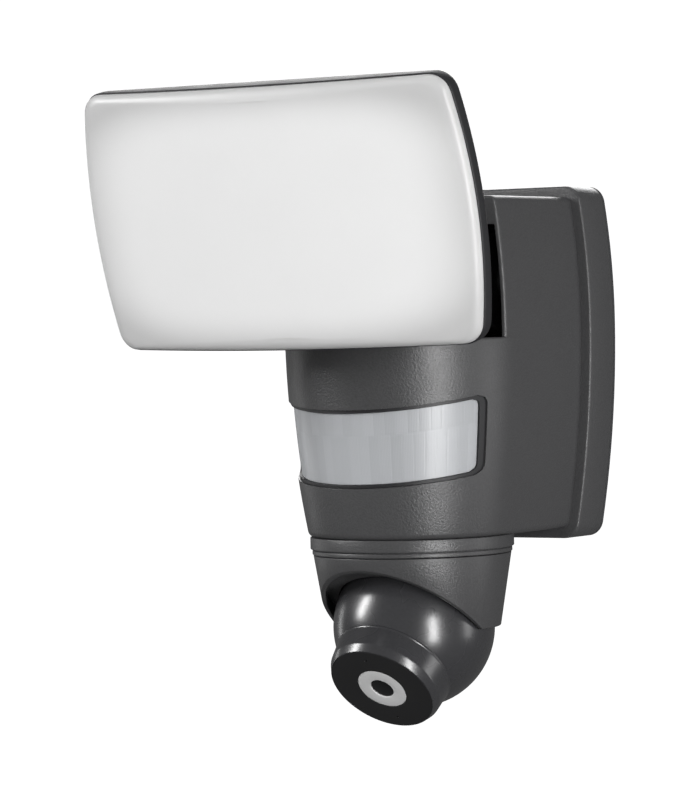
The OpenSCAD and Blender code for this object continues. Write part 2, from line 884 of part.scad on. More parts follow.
module ball_shell() {
    bore = axle_d + 2 * fit;
    color("#3a3a3c") camera_frame() difference() {
        union() {
            rotate_extrude() intersection() {
                difference() {
                    circle(r = ball_r);
                    circle(r = ball_r - ball_t);
                }
                union() {
                    translate([mouth_d / 2, 0]) square([ball_r, ball_r]);
                    translate([0, -ball_r]) square([ball_r, ball_r]);
                }
            }
            for (s = [-1, 1]) translate([s * boss_x, 0, 0]) rotate([0, s * 90, 0])
                cylinder(d = axle_d + 5, h = ball_r - ball_t + 0.3 - boss_x);
        }
        rotate([0, 90, 0]) cylinder(d = bore, h = 2 * axle_half + 0.6, center = true);
        rotate([slot_back - 180, 0, 0]) translate([-post_w / 2 - 1.5, -slot_half, 15])
            cube([post_w + 3, 2 * slot_half, 30]);
    }
}

module at_camera_screws() {
    for (a = [0:120:240]) rotate([0, 0, a]) translate([camera_screw_r, 0, 0]) children();
}

module camera_barrel() {
    inside = snout_reach - window_t - barrel_front_t;
    low = barrel_lo - 3;
    bezel_z = snout_reach - bezel_len;
    color("#3a3a3c") camera_frame() difference() {
        union() {
            difference() {
                union() {
                    translate([0, 0, low])
                        cylinder(d1 = snout_d + 2 * snout_flare, d2 = snout_d, h = bezel_z - low);
                    translate([0, 0, bezel_z])
                        cylinder(d1 = snout_d, d2 = snout_d - 2 * bezel_in, h = bezel_len);
                }
                sphere(r = ball_r);
                translate([0, 0, -1]) cylinder(d = mouth_d, h = inside + 1);
            }
            at_camera_screws() translate([0, 0, board_z + board_t])
                cylinder(d = 5, h = inside - board_z - board_t + 1);
        }
        at_camera_screws() translate([0, 0, board_z]) cylinder(d = 2, h = 10);
        translate([0, 0, snout_reach - window_t]) cylinder(d = window_d, h = 10);
        cylinder(d = ring_d + 6, h = 100);
        for (y = [-pin_hole_y, pin_hole_y]) translate([0, y, inside - 1]) cylinder(d = 4, h = 10);
    }
}

module front_window() {
    color("#161616") camera_frame() translate([0, 0, snout_reach - window_t]) difference() {
        cylinder(d = window_d, h = window_t);
        translate([0, 0, -1]) cylinder(d = ring_d, h = 10);
        for (y = [-pin_hole_y, pin_hole_y]) translate([0, y, -1]) cylinder(d = 1, h = 10);
    }
}

module light_ring() {
    color("gainsboro") camera_frame() translate([0, 0, snout_reach - window_t - 1]) difference() {
        union() {
            translate([0, 0, 1]) cylinder(d = ring_d, h = window_t);
            cylinder(d = ring_d + 4, h = 1);
        }
        translate([0, 0, -1]) cylinder(d = lens_d, h = 10);
    }
}

module lens_glass() {
    color("#101418") camera_frame() translate([0, 0, lens_back]) cylinder(d = lens_d, h = lens_t);
}

module lens_tube() {
    low = board_z + board_t;
    color("black") camera_frame() difference() {
        union() {
            translate([0, 0, low]) cylinder(d = 15, h = 8);
            translate([0, 0, low + 8]) cylinder(d = lens_d + 3, h = lens_back - low - 8);
        }
        translate([0, 0, low - 1]) cylinder(d = 9, h = 40);
    }
}

module camera_board() {
    color("darkgreen") camera_frame() difference() {
        translate([0, 0, board_z]) cylinder(d = mouth_d - 1, h = board_t);
        at_camera_screws() cylinder(d = 2.2, h = 60);
    }
}

module image_sensor() {
    color("gray") camera_frame() translate([-2.8, -2.8, board_z + board_t]) cube([5.6, 5.6, 1.2]);
}

module microphone() {
    color("silver") camera_frame() translate([0, pin_hole_y, snout_reach - window_t - 2.4])
        cylinder(d = 3.6, h = 2.4);
}

module light_sensor() {
    color("silver") camera_frame() translate([0, -pin_hole_y, snout_reach - window_t - 2.4])
        cylinder(d = 3, h = 2.4);
}

// Lights the ring from behind
module ring_board() {
    color("darkgreen") camera_frame() translate([0, 0, snout_reach - window_t - 2.4]) difference() {
        cylinder(d = ring_d + 4, h = 1.4);
        translate([0, 0, -1]) cylinder(d = lens_d + 4, h = 10);
    }
}

// Hold the board to the barrel's posts
module camera_screws() {
    color("silver") camera_frame() at_camera_screws() translate([0, 0, board_z]) rotate([180, 0, 0])
        screw(2, 8, 4, 1.4);
}

wall_seal();
mounting_plate();
cable_seal();
terminal_block();
power_module();
wall_box();
box_screws();
chassis_plate();
main_board();
board_components();
wifi_antenna();
body_shell();
sensor_frame();
sensor_lens();
sensor_cradle();
sensor_board();
motion_sensors();
hinge_bracket();
bracket_screws();
friction_washers();
hinge_screws();
head_arm();
arm_screws();
head_housing();
led_driver();
heat_sink();
heat_sink_screws();
led_board();
leds();
reflector();
head_seal();
light_cover();
collar();
collar_screws();
camera_holder();
pan_retainer();
retainer_screws();
tilt_post();
tilt_axle();
ball_shell();
camera_barrel();
front_window();
light_ring();
lens_glass();
lens_tube();
camera_board();
image_sensor();
microphone();
light_sensor();
ring_board();
camera_screws();
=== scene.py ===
"""The looks of a wall floodlight with a motion sensor and a turning camera."""

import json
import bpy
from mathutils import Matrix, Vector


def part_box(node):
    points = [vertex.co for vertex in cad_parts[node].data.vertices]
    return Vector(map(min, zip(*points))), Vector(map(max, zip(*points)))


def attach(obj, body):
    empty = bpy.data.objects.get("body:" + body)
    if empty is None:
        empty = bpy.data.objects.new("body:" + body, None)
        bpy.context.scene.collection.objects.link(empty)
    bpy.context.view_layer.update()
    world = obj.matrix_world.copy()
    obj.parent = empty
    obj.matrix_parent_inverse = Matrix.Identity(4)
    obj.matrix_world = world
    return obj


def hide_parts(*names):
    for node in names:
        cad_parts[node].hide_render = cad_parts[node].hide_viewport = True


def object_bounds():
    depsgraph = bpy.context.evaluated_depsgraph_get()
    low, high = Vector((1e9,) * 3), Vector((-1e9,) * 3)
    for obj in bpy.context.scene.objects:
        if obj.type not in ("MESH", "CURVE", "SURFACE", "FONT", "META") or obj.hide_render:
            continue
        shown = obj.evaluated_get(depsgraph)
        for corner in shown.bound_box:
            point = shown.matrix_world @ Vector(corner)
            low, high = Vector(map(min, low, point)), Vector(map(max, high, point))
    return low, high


bl_info = {
    "name": "Floodlight with camera",
    "version": (1, 0, 0),
    "blender": (4, 5, 0),
    "location": "View3D > Sidebar > Floodlight",
    "description": "Builds a wall floodlight with a motion sensor and a turning camera",
    "category": "Add Mesh",
}

from math import asin, atan2, cos, hypot, pi, radians, sin, sqrt, tan

import bpy
from mathutils import Matrix, Vector

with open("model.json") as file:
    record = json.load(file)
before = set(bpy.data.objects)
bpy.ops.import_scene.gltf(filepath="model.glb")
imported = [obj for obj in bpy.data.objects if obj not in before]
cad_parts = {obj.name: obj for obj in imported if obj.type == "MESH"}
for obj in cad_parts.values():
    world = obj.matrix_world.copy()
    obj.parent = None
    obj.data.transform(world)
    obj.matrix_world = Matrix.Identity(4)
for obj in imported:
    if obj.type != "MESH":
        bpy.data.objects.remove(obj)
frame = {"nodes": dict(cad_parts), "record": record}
CAD_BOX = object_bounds()
PIVOT = {j["name"]: Vector(j["pos_m"]) for j in frame["record"]["behaviour"]["joints"]}
BODY_LO, BODY_HI = (Vector(corner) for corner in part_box("body_shell"))
BOX_LO, BOX_HI = (Vector(corner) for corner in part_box("wall_box"))
MM = 0.001
GAP = 0.3 * MM  # between turning faces
FIT = 0.05 * MM  # between pieces that sit in each other
WINDOW_THICK = 1.5 * MM  # of the camera's front window
PER_METRE = 10  # of the sensor lens's UV map: one unit is 100 mm


# ---- sizes and colours that a user would change ----


def length(name, description, default):
    return bpy.props.FloatProperty(
        name=name, description=description, default=default * MM, min=0.0, unit="LENGTH"
    )


def angle(name, description, default):
    return bpy.props.FloatProperty(
        name=name, description=description, default=radians(default), subtype="ANGLE"
    )


def colour(name, description, default):
    return bpy.props.StringProperty(name=name, description=description, default=default)


class BodySizes(bpy.types.PropertyGroup):
    narrow_top: length("Narrower at top", "How much narrower the body's top edge is", 8.6)
    narrow_bottom: length("Narrower at bottom", "How much narrower the body's bottom edge is", 16.8)
    wide_up: length("Widest level", "Height of the widest level above the middle", 18)
    face_ahead: length("Flat face ahead", "How far the flat face stands ahead of the pan axis", 6)
    ledge_up: length("Ledge", "Height of the ledge above the middle", 12)
    corner: length("Corner radius", "Radius of the body's corners seen from the front", 3)
    edge: length("Edge radius", "Radius of the body's front edges", 0.9)
    wall: length("Wall", "Wall of the body shell", 2.5)
    pocket_high: length("Pocket height", "Height of the pocket for the arm", 47)
    pocket_deep: length("Pocket depth", "Depth of the pocket for the arm", 47)
    pocket_side: length("Pocket side", "Wall beside the pocket", 1.8)
    box_edge: length("Wall box edge", "Radius of the wall box's front edge", 1.0)
    box_wall: length("Wall box wall", "Wall of the wall box", 2.4)


class SensorSizes(bpy.types.PropertyGroup):
    high: length("Height", "Height of the lens band", 30.2)
    down: length("Level", "Level of the band's middle below the body's middle", 33)
    rise: angle("Rise", "Rise of the band towards the wall", 9.2)
    wrap: angle("Wrap", "Half of the angle that the lens wraps round", 68)
    sunk: length("Sunk", "How deep the lens lies under the body's surface", 2)
    thick: length("Thickness", "Thickness of the lens", 1.2)
    rim: length("Rim", "Width of the frame round the lens", 1.4)
    facet: length("Facet", "Width of one lens facet", 4.9)
    corner: length("Corner radius", "Radius of the lens's corners", 3.4)


class HeadSizes(bpy.types.PropertyGroup):
    width: length("Width", "Width of the light head at mid height", 186.6)
    height: length("Height", "Height of the light head", 108.8)
    narrow: length("Narrower ends", "How much narrower the head is at its top and bottom", 12.2)
    corner: length("Corner radius", "Radius of the head's corners", 9.5)
    bow: length("Bow", "Bow of the light cover across its width", 7)
    reach: length("Reach", "From the hinge to the light cover's front edge", 102.4)
    up: length("Rise", "Middle of the head above the hinge", 50.9)
    tilt: angle("Tilt", "Tilt of the head at rest", 12.8)
    cover_edge: length("Cover edge", "Depth of the light cover's edge", 4)
    cover_round: length("Cover rounding", "How far the rounding reaches over the cover", 5.5)
    rim_deep: length("Rim", "Depth of the housing's straight rim", 5)
    back_deep: length("Back", "Depth of the housing's tapered back", 35.4)
    wall: length("Wall", "Wall of the housing", 2)
    arm_wide: length("Arm width", "Width of the arm", 82)
    drum: length("Drum", "Diameter of the arm's drum", 44)


class CameraSizes(bpy.types.PropertyGroup):
    collar: length("Collar", "Diameter of the fixed collar", 86.4)
    collar_high: length("Collar height", "Height of the collar's band", 5.3)
    bead_high: length("Bead height", "Height of the bead under the band", 2.2)
    holder_top: length("Holder top", "Diameter of the holder at its top", 84)
    holder_low: length("Holder low", "Diameter of the holder at the ball's middle", 73.8)
    holder_cut: angle("Holder cut", "Slope of the holder's front cut", 35.6)
    holder_wall: length("Holder wall", "Wall of the holder round its front opening", 1.8)
    hollow: length("Hollow", "Depth of the hollow behind the holder's front cut", 6)
    ball: length("Ball", "Diameter of the ball", 68.6)
    ball_wall: length("Ball wall", "Wall of the ball", 2.2)
    hub: length("Hub", "Diameter of the pan hub", 40)
    down: angle("Camera down", "Direction of the camera below level at rest", 42.5)
    reach: length("Reach", "From the ball's middle to the camera's front", 35.8)
    barrel: length("Barrel", "Diameter of the camera's front barrel", 49.4)
    flare: length("Flare", "How much wider the barrel is at the ball, on the radius", 1)
    bezel: length("Bezel", "Length of the bezel at the barrel's front", 3.4)
    bezel_in: length("Bezel taper", "How much the bezel narrows, on the radius", 1.6)
    lip: length("Lip", "Width of the bezel's edge round the window", 0.4)
    ring: length("Light ring", "Outer diameter of the light ring", 22)
    lens: length("Lens", "Diameter of the lens opening", 10.4)


class Finishes(bpy.types.PropertyGroup):
    housing: colour("Housing", "Anthracite of the textured housing", "#424243")
    head: colour("Head", "Dark grey of the light head's housing", "#252527")
    ball: colour("Ball", "Anthracite of the smooth ball", "#343436")
    cover: colour("Light cover", "White of the light cover", "#e3e3e3")
    lens: colour("Sensor lens", "Milky grey of the sensor's lens", "#a9abae")
    window: colour("Window", "Black of the camera's window", "#1b1b1c")
    ring: colour("Light ring", "Light grey of the ring", "#cfcfcf")
    stage: colour("Stage", "White of the floor", "#fbfbfb")


GROUPS = {
    "floodlight_body": BodySizes,
    "floodlight_sensor": SensorSizes,
    "floodlight_head": HeadSizes,
    "floodlight_camera": CameraSizes,
    "floodlight_finish": Finishes,
}


# ---- modelling helpers ----


def steps(start, end, count):
    """Evenly spaced values from start to end."""
    return [start + (end - start) * i / count for i in range(count + 1)]


def arc_radius(rise, drop):
    """Radius of an arc that falls by a drop over a rise from its crown."""
    return (rise * rise + drop * drop) / (2 * drop)


def deselect():
    bpy.ops.object.select_all(action="DESELECT")


def edit(piece):
    """Enters edit mode on one piece, with all of it selected."""
    deselect()
    piece.select_set(True)
    bpy.context.view_layer.objects.active = piece
    bpy.ops.object.mode_set(mode="EDIT")
    bpy.ops.mesh.select_mode(type="VERT")
    bpy.ops.mesh.select_all(action="SELECT")


def leave():
    bpy.ops.object.mode_set(mode="OBJECT")


def named(name):
    """Names the piece that was just added."""
    piece = bpy.context.object
    piece.name = piece.data.name = name
    return piece


def close_up(piece):
    """Merges doubles, fills what is open and turns the faces outwards."""
    edit(piece)
    bpy.ops.mesh.remove_doubles(threshold=0.002 * MM)
    bpy.ops.mesh.fill_holes(sides=0)
    bpy.ops.mesh.select_all(action="SELECT")
    bpy.ops.mesh.normals_make_consistent(inside=False)
    leave()
    return piece


def skin(name, rings):
    """Wraps a grid round a stack of closed rings and closes its ends."""
    around, up = len(rings[0]), len(rings) - 1
    deselect()
    bpy.ops.mesh.primitive_grid_add(x_subdivisions=around, y_subdivisions=up, size=1)
    piece = named(name)
    for vertex in piece.data.vertices:
        i, j = round((vertex.co.x + 0.5) * around), round((vertex.co.y + 0.5) * up)
        vertex.co = rings[j][i % around]
    return close_up(piece)


def plate(name, points):
    """A flat face with the given outline."""
    deselect()
    bpy.ops.mesh.primitive_circle_add(vertices=len(points), fill_type="NGON", radius=1)
    piece = named(name)
    for vertex, point in zip(piece.data.vertices, points):
        vertex.co = point
    return piece


def prism(name, points, along):
    """A flat outline drawn out along a vector."""
    piece = plate(name, points)
    edit(piece)
    bpy.ops.mesh.extrude_region_move(TRANSFORM_OT_translate={"value": along})
    bpy.ops.mesh.select_all(action="SELECT")
    bpy.ops.mesh.normals_make_consistent(inside=False)
    leave()
    return piece


def turned(name, profile, place, count=128):
    """Spins a closed profile of (radius, height) points about Z and puts the result in place."""
    deselect()
    bpy.ops.mesh.primitive_plane_add(size=MM)
    piece = named(name)
    edit(piece)
    bpy.ops.mesh.merge(type="CENTER")
    at = Vector((0, 0, 0))
    for i, (r, z) in enumerate(profile + profile[:1]):
        move = Vector((r, 0, z)) - at
        if i:
            bpy.ops.mesh.extrude_region_move(TRANSFORM_OT_translate={"value": move})
        else:
            bpy.ops.transform.translate(value=move)
        at += move
    bpy.ops.mesh.select_all(action="SELECT")
    bpy.ops.mesh.spin(steps=count, angle=2 * pi, center=(0, 0, 0), axis=(0, 0, 1))
    leave()
    close_up(piece)
    piece.data.transform(place)
    return piece


def rounded(path, cuts, count=4):
    """Rounds a path's inner corners with true arcs that start a cut before each corner."""
    out = [path[0]]
    for before, corner, after, cut in zip(path, path[1:], path[2:], cuts):
        if not cut:
            out.append(corner)
            continue
        into, away = cut if isinstance(cut, tuple) else (cut, cut)
        start = corner + (before - corner).normalized() * into
        end = corner + (after - corner).normalized() * away
        weight = cos((corner - before).angle(after - corner) / 2)
        for t in steps(0, 1, count):
            a, b, c = (1 - t) ** 2, 2 * t * (1 - t) * weight, t * t
            out.append((start * a + corner * b + end * c) / (a + b + c))
    return out + [path[-1]]


def rounded_profile(points, cuts, count=4):
    """The same for (radius, height) points, whose first and last stay sharp."""
    path = rounded([Vector((r, 0, z)) for r, z in points], cuts, count)
    return [(p.x, p.z) for p in path]


def outline(half, low_arc, top_arc, wide, lo, hi, corner, grow=0.0, side=16, flat=24):
    """Barrel outline seen from the front as (x, z) points, grown outwards.

    It is half wide at the level wide, from where its sides curve in with low_arc down to lo
    and with top_arc up to hi.
    """
    half, low_arc, top_arc = half + grow, low_arc + grow, top_arc + grow
    lo, hi, corner = lo - grow, hi + grow, max(corner + grow, 0.8 * MM)
    right = []
    for sign, arc, rise in ((-1, low_arc, wide - lo), (1, top_arc, hi - wide)):
        out = sqrt((arc - corner) ** 2 - (rise - corner) ** 2)
        turn = atan2(rise - corner, out)
        edge = [
            (half - arc + arc * cos(a), wide + sign * arc * sin(a)) for a in steps(0, turn, side)
        ]
        edge += [
            (half - arc + out + corner * cos(a), wide + sign * (rise - corner + corner * sin(a)))
            for a in steps(turn, pi / 2, 8)[1:]
        ]
        right = edge[::-1] if sign < 0 else right + edge[1:]
    left = [(-x, z) for x, z in right[::-1]]
    top = [(x, hi) for x in steps(right[-1][0], left[0][0], flat)[1:-1]]
    bottom = [(x, lo) for x in steps(left[-1][0], right[0][0], flat)[1:-1]]
    return right + top + left + bottom


def cut(piece, *cutters):
    """Takes the cutters out of a piece."""
    for cutter in cutters:
        deselect()
        bpy.context.view_layer.objects.active = piece
        piece.select_set(True)
        hole = piece.modifiers.new("cut", "BOOLEAN")
        hole.operation, hole.solver, hole.object = "DIFFERENCE", "EXACT", cutter
        bpy.ops.object.modifier_apply(modifier=hole.name)
    for cutter in cutters:
        bpy.data.objects.remove(cutter)
    return piece


def thickened(piece, thickness):
    """Gives a sheet a wall behind its faces."""
    deselect()
    bpy.context.view_layer.objects.active = piece
    piece.select_set(True)
    wall = piece.modifiers.new("wall", "SOLIDIFY")
    wall.thickness, wall.offset, wall.use_even_offset = thickness, -1, True
    bpy.ops.object.modifier_apply(modifier=wall.name)
    return piece


def bevel_faces(piece, facing, width, count=2):
    """Rounds the edges round the faces that look along one of the given directions."""
    edit(piece)
    bpy.ops.mesh.select_all(action="DESELECT")
    bpy.ops.mesh.select_mode(type="FACE")
    leave()
    for face in piece.data.polygons:
        face.select = any((face.normal - way).length < 0.05 for way in facing)
    bpy.ops.object.mode_set(mode="EDIT")
    bpy.ops.mesh.region_to_loop()
    bpy.ops.mesh.bevel(offset=width, segments=count, affect="EDGES", clamp_overlap=True)
    leave()
    return piece


def finished(piece, body, slot, *nodes, smooth=35):
    """Smooths a piece, gives it its finish and body, and hides the CAD nodes it stands for."""
    deselect()
    piece.select_set(True)
    bpy.context.view_layer.objects.active = piece
    bpy.ops.object.shade_smooth_by_angle(angle=radians(smooth), keep_sharp_edges=False)
    piece.data.materials.clear()
    piece.data.materials.append(FINISH[slot])
    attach(piece, body)
    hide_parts(*nodes)
    return piece


# ---- the body's and the head's forms ----


def body_outline(grow, **counts):
    """The body's outline seen from the front."""
    s = bpy.context.scene.floodlight_body
    return outline(
        BODY_HI.x,
        arc_radius(s.wide_up - BODY_LO.z, s.narrow_bottom / 2),
        arc_radius(BODY_HI.z - s.wide_up, s.narrow_top / 2),
        s.wide_up,
        BODY_LO.z,
        BODY_HI.z,
        s.corner,
        grow,
        **counts,
    )


def half_at(z, grow=0.0):
    """Half width of the body at a level, read from its outline."""
    side = [p for p in body_outline(grow, side=48) if p[0] > 0]
    side.sort(key=lambda p: p[1])
    for (x0, z0), (x1, z1) in zip(side, side[1:]):
        if z0 <= z <= z1 and z1 > z0:
            return x0 + (x1 - x0) * (z - z0) / (z1 - z0)
    return side[-1][0] if z > side[-1][1] else side[0][0]


def body_form(name, grow, edge):
    """The body's outside, grown outwards: round below the ledge and flat above it."""
    s = bpy.context.scene.floodlight_body
    # The cavity runs out through the body's open back
    pan, back = PIVOT["camera_pan"].y, BODY_HI.y + (0 if grow == 0 else 8 * MM)
    face = pan - s.face_ahead - grow
    turn, fade, apart = 1.2 * MM, 3 * MM, 1 * MM
    side = [p for p in body_outline(grow, side=14, flat=2) if p[0] > 0]
    side = side[: len(side) // 2 * 2]
    ledge = s.ledge_up + grow
    low = [p for p in side if p[1] < ledge - edge - apart]
    high = [p for p in side if p[1] > s.ledge_up + apart]
    arc = steps(0, pi, 72)

    def lower(w, z, inset):
        """A round ring, drawn in by the inset only where it stands ahead of the flat face."""
        ring = [Vector((w, y, z)) for y in steps(back, pan, 8)[:-1]]
        for a in arc:
            away = min(max((w * sin(a) - s.face_ahead) / fade, 0), 1)
            r = w - inset * away
            ring.append(Vector((r * cos(a), pan - r * sin(a), z)))
        return ring + [Vector((-w, y, z)) for y in steps(pan, back, 8)[1:]]

    def upper(w, z, inset):
        """A ring with a flat front and rounded front corners."""
        front = face + inset
        corner = [
            Vector((w - turn + turn * cos(a), front + turn - turn * sin(a), z))
            for a in steps(0, pi / 2, 6)
        ]
        ring = [Vector((w, y, z)) for y in steps(back, pan, 8)[:-1]]
        ring += [Vector((w, y, z)) for y in steps(pan, front + turn, 6)[:-1]] + corner
        ring += [Vector((x, front, z)) for x in steps(w - turn, turn - w, 48)[1:-1]]
        ring += [Vector((-p.x, p.y, z)) for p in corner[::-1]]
        ring += [Vector((-w, y, z)) for y in steps(front + turn, pan, 6)[1:]]
        return ring + [Vector((-w, y, z)) for y in steps(pan, back, 8)[1:]]

    rings = [lower(x, z, 0) for x, z in low]
    w = half_at(ledge, grow)
    for a in steps(0, pi / 2, 4) if edge else [0]:
        rings.append(lower(w, ledge - edge + edge * sin(a), edge * (1 - cos(a))))
    w = half_at(s.ledge_up, grow)
    rings.append(upper(w, ledge, 0))
    top = high[-1][1]
    for x, z in high:
        drop = min(max((z - top + edge) / edge, 0), 1) if edge else 0
        rings.append(upper(x, z, edge * (1 - sqrt(1 - drop * drop))))
    return skin(name, rings)


def head_matrix():
    """Places the head's own frame: its origin on the hinge, tilted as at rest."""
    s = bpy.context.scene.floodlight_head
    return Matrix.Translation(PIVOT["head_tilt"]) @ Matrix.Rotation(s.tilt, 4, "X")


def head_outline(grow):
    """The light head's outline seen from its front."""
    s = bpy.context.scene.floodlight_head
    arc = arc_radius(s.height / 2, s.narrow / 2)
    return outline(
        s.width / 2, arc, arc, 0, -s.height / 2, s.height / 2, s.corner, grow, flat=32
    )


def bow_at(x):
    """How far a bowed surface stands ahead of its edge."""
    s = bpy.context.scene.floodlight_head
    arc = arc_radius(s.width / 2, s.bow)
    return sqrt(arc * arc - x * x) - arc + s.bow


def head_skin(name, stations):
    """A head piece from paths that run through the stations (outline, depth, bowed, cut)."""
    s = bpy.context.scene.floodlight_head
    place = head_matrix()
    cuts = [cut for _, _, _, cut in stations[1:-1]]
    paths = []
    for i in range(len(stations[0][0])):
        path = []
        for ring, depth, bowed, _ in stations:
            x, z = ring[i]
            path.append(Vector((x, depth - (bow_at(x) if bowed else 0), s.up + z)))
        paths.append([place @ p for p in rounded(path, cuts)])
    return skin(name, list(zip(*paths)))


def scaled(ring, factor):
    """An outline drawn in towards its middle."""
    return [(x * factor, z * factor) for x, z in ring]


def sensor_patch(name, high, wrap, depth, corner, columns, rows, groove=None):
    """A sheet on the body's round front, a depth under its surface, with rounded corners."""
    s = bpy.context.scene.floodlight_sensor
    pan = PIVOT["camera_pan"].y
    bottom, top, pitch = -64 * MM, 6 * MM, 2 * MM
    widths = [half_at(z) for z in steps(bottom, top, 35)]
    front = half_at(-s.down)

    def reach(z):
        """Half width of the body at a level, read between two entries of the list."""
        spot = min(max((z - bottom) / pitch, 0), len(widths) - 1.001)
        i = int(spot)
        return widths[i] + (widths[i + 1] - widths[i]) * (spot - i)

    deselect()
    bpy.ops.mesh.primitive_grid_add(x_subdivisions=columns, y_subdivisions=rows, size=1)
    piece = named(name)
    uv_map = piece.data.uv_layers.active.data
    flat = {}
    for vertex in piece.data.vertices:
        v = vertex.co.y * high
        over = max(abs(v) - (high / 2 - corner), 0)
        inset = corner - sqrt(max(corner * corner - over * over, 0))
        turn = vertex.co.x * 2 * (wrap - inset / front)
        sink = depth + (groove(turn * front, v) if groove else 0)
        z = v - s.down
        for _ in range(6):
            r = reach(z) - sink
            ahead = front - r * cos(turn)
            z = (v + ahead * sin(s.rise)) / cos(s.rise) - s.down
        vertex.co = (r * sin(turn), pan - r * cos(turn), z)
        flat[vertex.index] = (turn * front * PER_METRE, v * PER_METRE)
    for loop in piece.data.loops:
        uv_map[loop.index].uv = flat[loop.vertex_index]
    return piece


def row_split():
    """Level of the line between the lens's two rows of facets, above its middle."""
    s = bpy.context.scene.floodlight_sensor
    return s.high / 2 - s.high / 3


def facing_out(piece):
    """Turns a sheet's faces away from the pan axis."""
    middle = piece.data.polygons[len(piece.data.polygons) // 2]
    if middle.normal.dot(middle.center - PIVOT["camera_pan"]) < 0:
        edit(piece)
        bpy.ops.mesh.flip_normals()
        leave()
    return piece


def camera_matrix():
    """Places the camera's own frame: its origin in the ball's middle, Z out through the lens."""
    s = bpy.context.scene.floodlight_camera
    return Matrix.Translation(PIVOT["camera_tilt"]) @ Matrix.Rotation(pi / 2 + s.down, 4, "X")


def pan_matrix():
    """Places what turns about the pan axis. Levels stay as they are."""
    return Matrix.Translation((0, PIVOT["camera_pan"].y, 0))


# ---- finishes ----

FINISH = {}


def linear(hex_colour):
    """sRGB hex to linear colour with alpha."""
    parts = [int(hex_colour[i : i + 2], 16) / 255 for i in (1, 3, 5)]
    return tuple(c / 12.92 if c <= 0.04045 else ((c + 0.055) / 1.055) ** 2.4 for c in parts) + (1,)


def add(tree, kind, inputs=None, **settings):
    """Adds a node with its settings, values and links."""
    node = tree.nodes.new("ShaderNode" + kind)
    for key, value in settings.items():
        setattr(node, key, value)
    for key, value in (inputs or {}).items():
        if isinstance(value, bpy.types.NodeSocket):
            tree.links.new(value, node.inputs[key])
        else:
            node.inputs[key].default_value = value
    return node


def material(slot):
    """An empty material, listed under the name of its finish."""
    made = bpy.data.materials.new(slot)
    made.use_nodes = True
    tree = made.node_tree
    tree.nodes.clear()
    FINISH[slot] = made
    return tree


def surface(tree, inputs):
    """Ends a material in its one shader."""
    shader = add(tree, "BsdfPrincipled", inputs)
    add(tree, "OutputMaterial", {"Surface": shader.outputs[0]})


def grained(slot, hex_colour, rough, grain, depth, spread=0.12, edge=0.35, **more):
    """Moulded plastic: a grain that shades and dents it, and a gloss in clouds of about 17 mm.

    The grain, its depth and the soft edge are in mm.
    """
    tree = material(slot)
    place = add(tree, "TexCoord").outputs["Object"]
    size = {"Scale": 1 / (grain * MM), "Detail": 3.0, "Roughness": 0.6}
    noise = add(tree, "TexNoise", {"Vector": place, **size}).outputs["Fac"]
    cloud = add(tree, "TexNoise", {"Vector": place, "Scale": 60.0, "Detail": 2.0}).outputs["Fac"]
    tone = {"To Min": 1 - 2.5 * spread, "To Max": 1 + 2.5 * spread}
    shade = add(tree, "MapRange", {"Value": noise, **tone}).outputs["Result"]
    shaded = add(tree, "HueSaturation", {"Color": linear(hex_colour), "Value": shade})
    shine = {"To Min": rough - 0.06, "To Max": rough + 0.06}
    gloss = add(tree, "MapRange", {"Value": cloud, **shine})
    soft = add(tree, "Bevel", {"Radius": edge * MM}, samples=4).outputs["Normal"]
    dent = {"Distance": depth * MM, "Strength": 1.0}
    bump = add(tree, "Bump", {"Height": noise, **dent, "Normal": soft})
    surface(
        tree,
        {
            "Base Color": shaded.outputs["Color"],
            "Roughness": gloss.outputs["Result"],
            "Normal": bump.outputs["Normal"],
            "IOR": 1.5,
            **more,
        },
    )


def metal(slot, hex_colour, rough, scratch=(400, 400, 6000), depth=0.004, **more):
    """Bare or plated metal with fine marks, scratch to the metre along X, Y and Z."""
    tree = material(slot)
    place = add(tree, "TexCoord").outputs["Object"]
    along = add(tree, "Mapping", {"Vector": place, "Scale": scratch})
    marks = {"Vector": along.outputs["Vector"], "Scale": 1.0, "Detail": 4.0}
    noise = add(tree, "TexNoise", marks).outputs["Fac"]
    shine = {"To Min": rough - 0.08, "To Max": rough + 0.12}
    gloss = add(tree, "MapRange", {"Value": noise, **shine})
    bump = add(tree, "Bump", {"Height": noise, "Distance": depth * MM})
    surface(
        tree,
        {
            "Base Color": linear(hex_colour),
            "Metallic": 1.0,
            "Roughness": gloss.outputs["Result"],
            "Normal": bump.outputs["Normal"],
            **more,
        },
    )


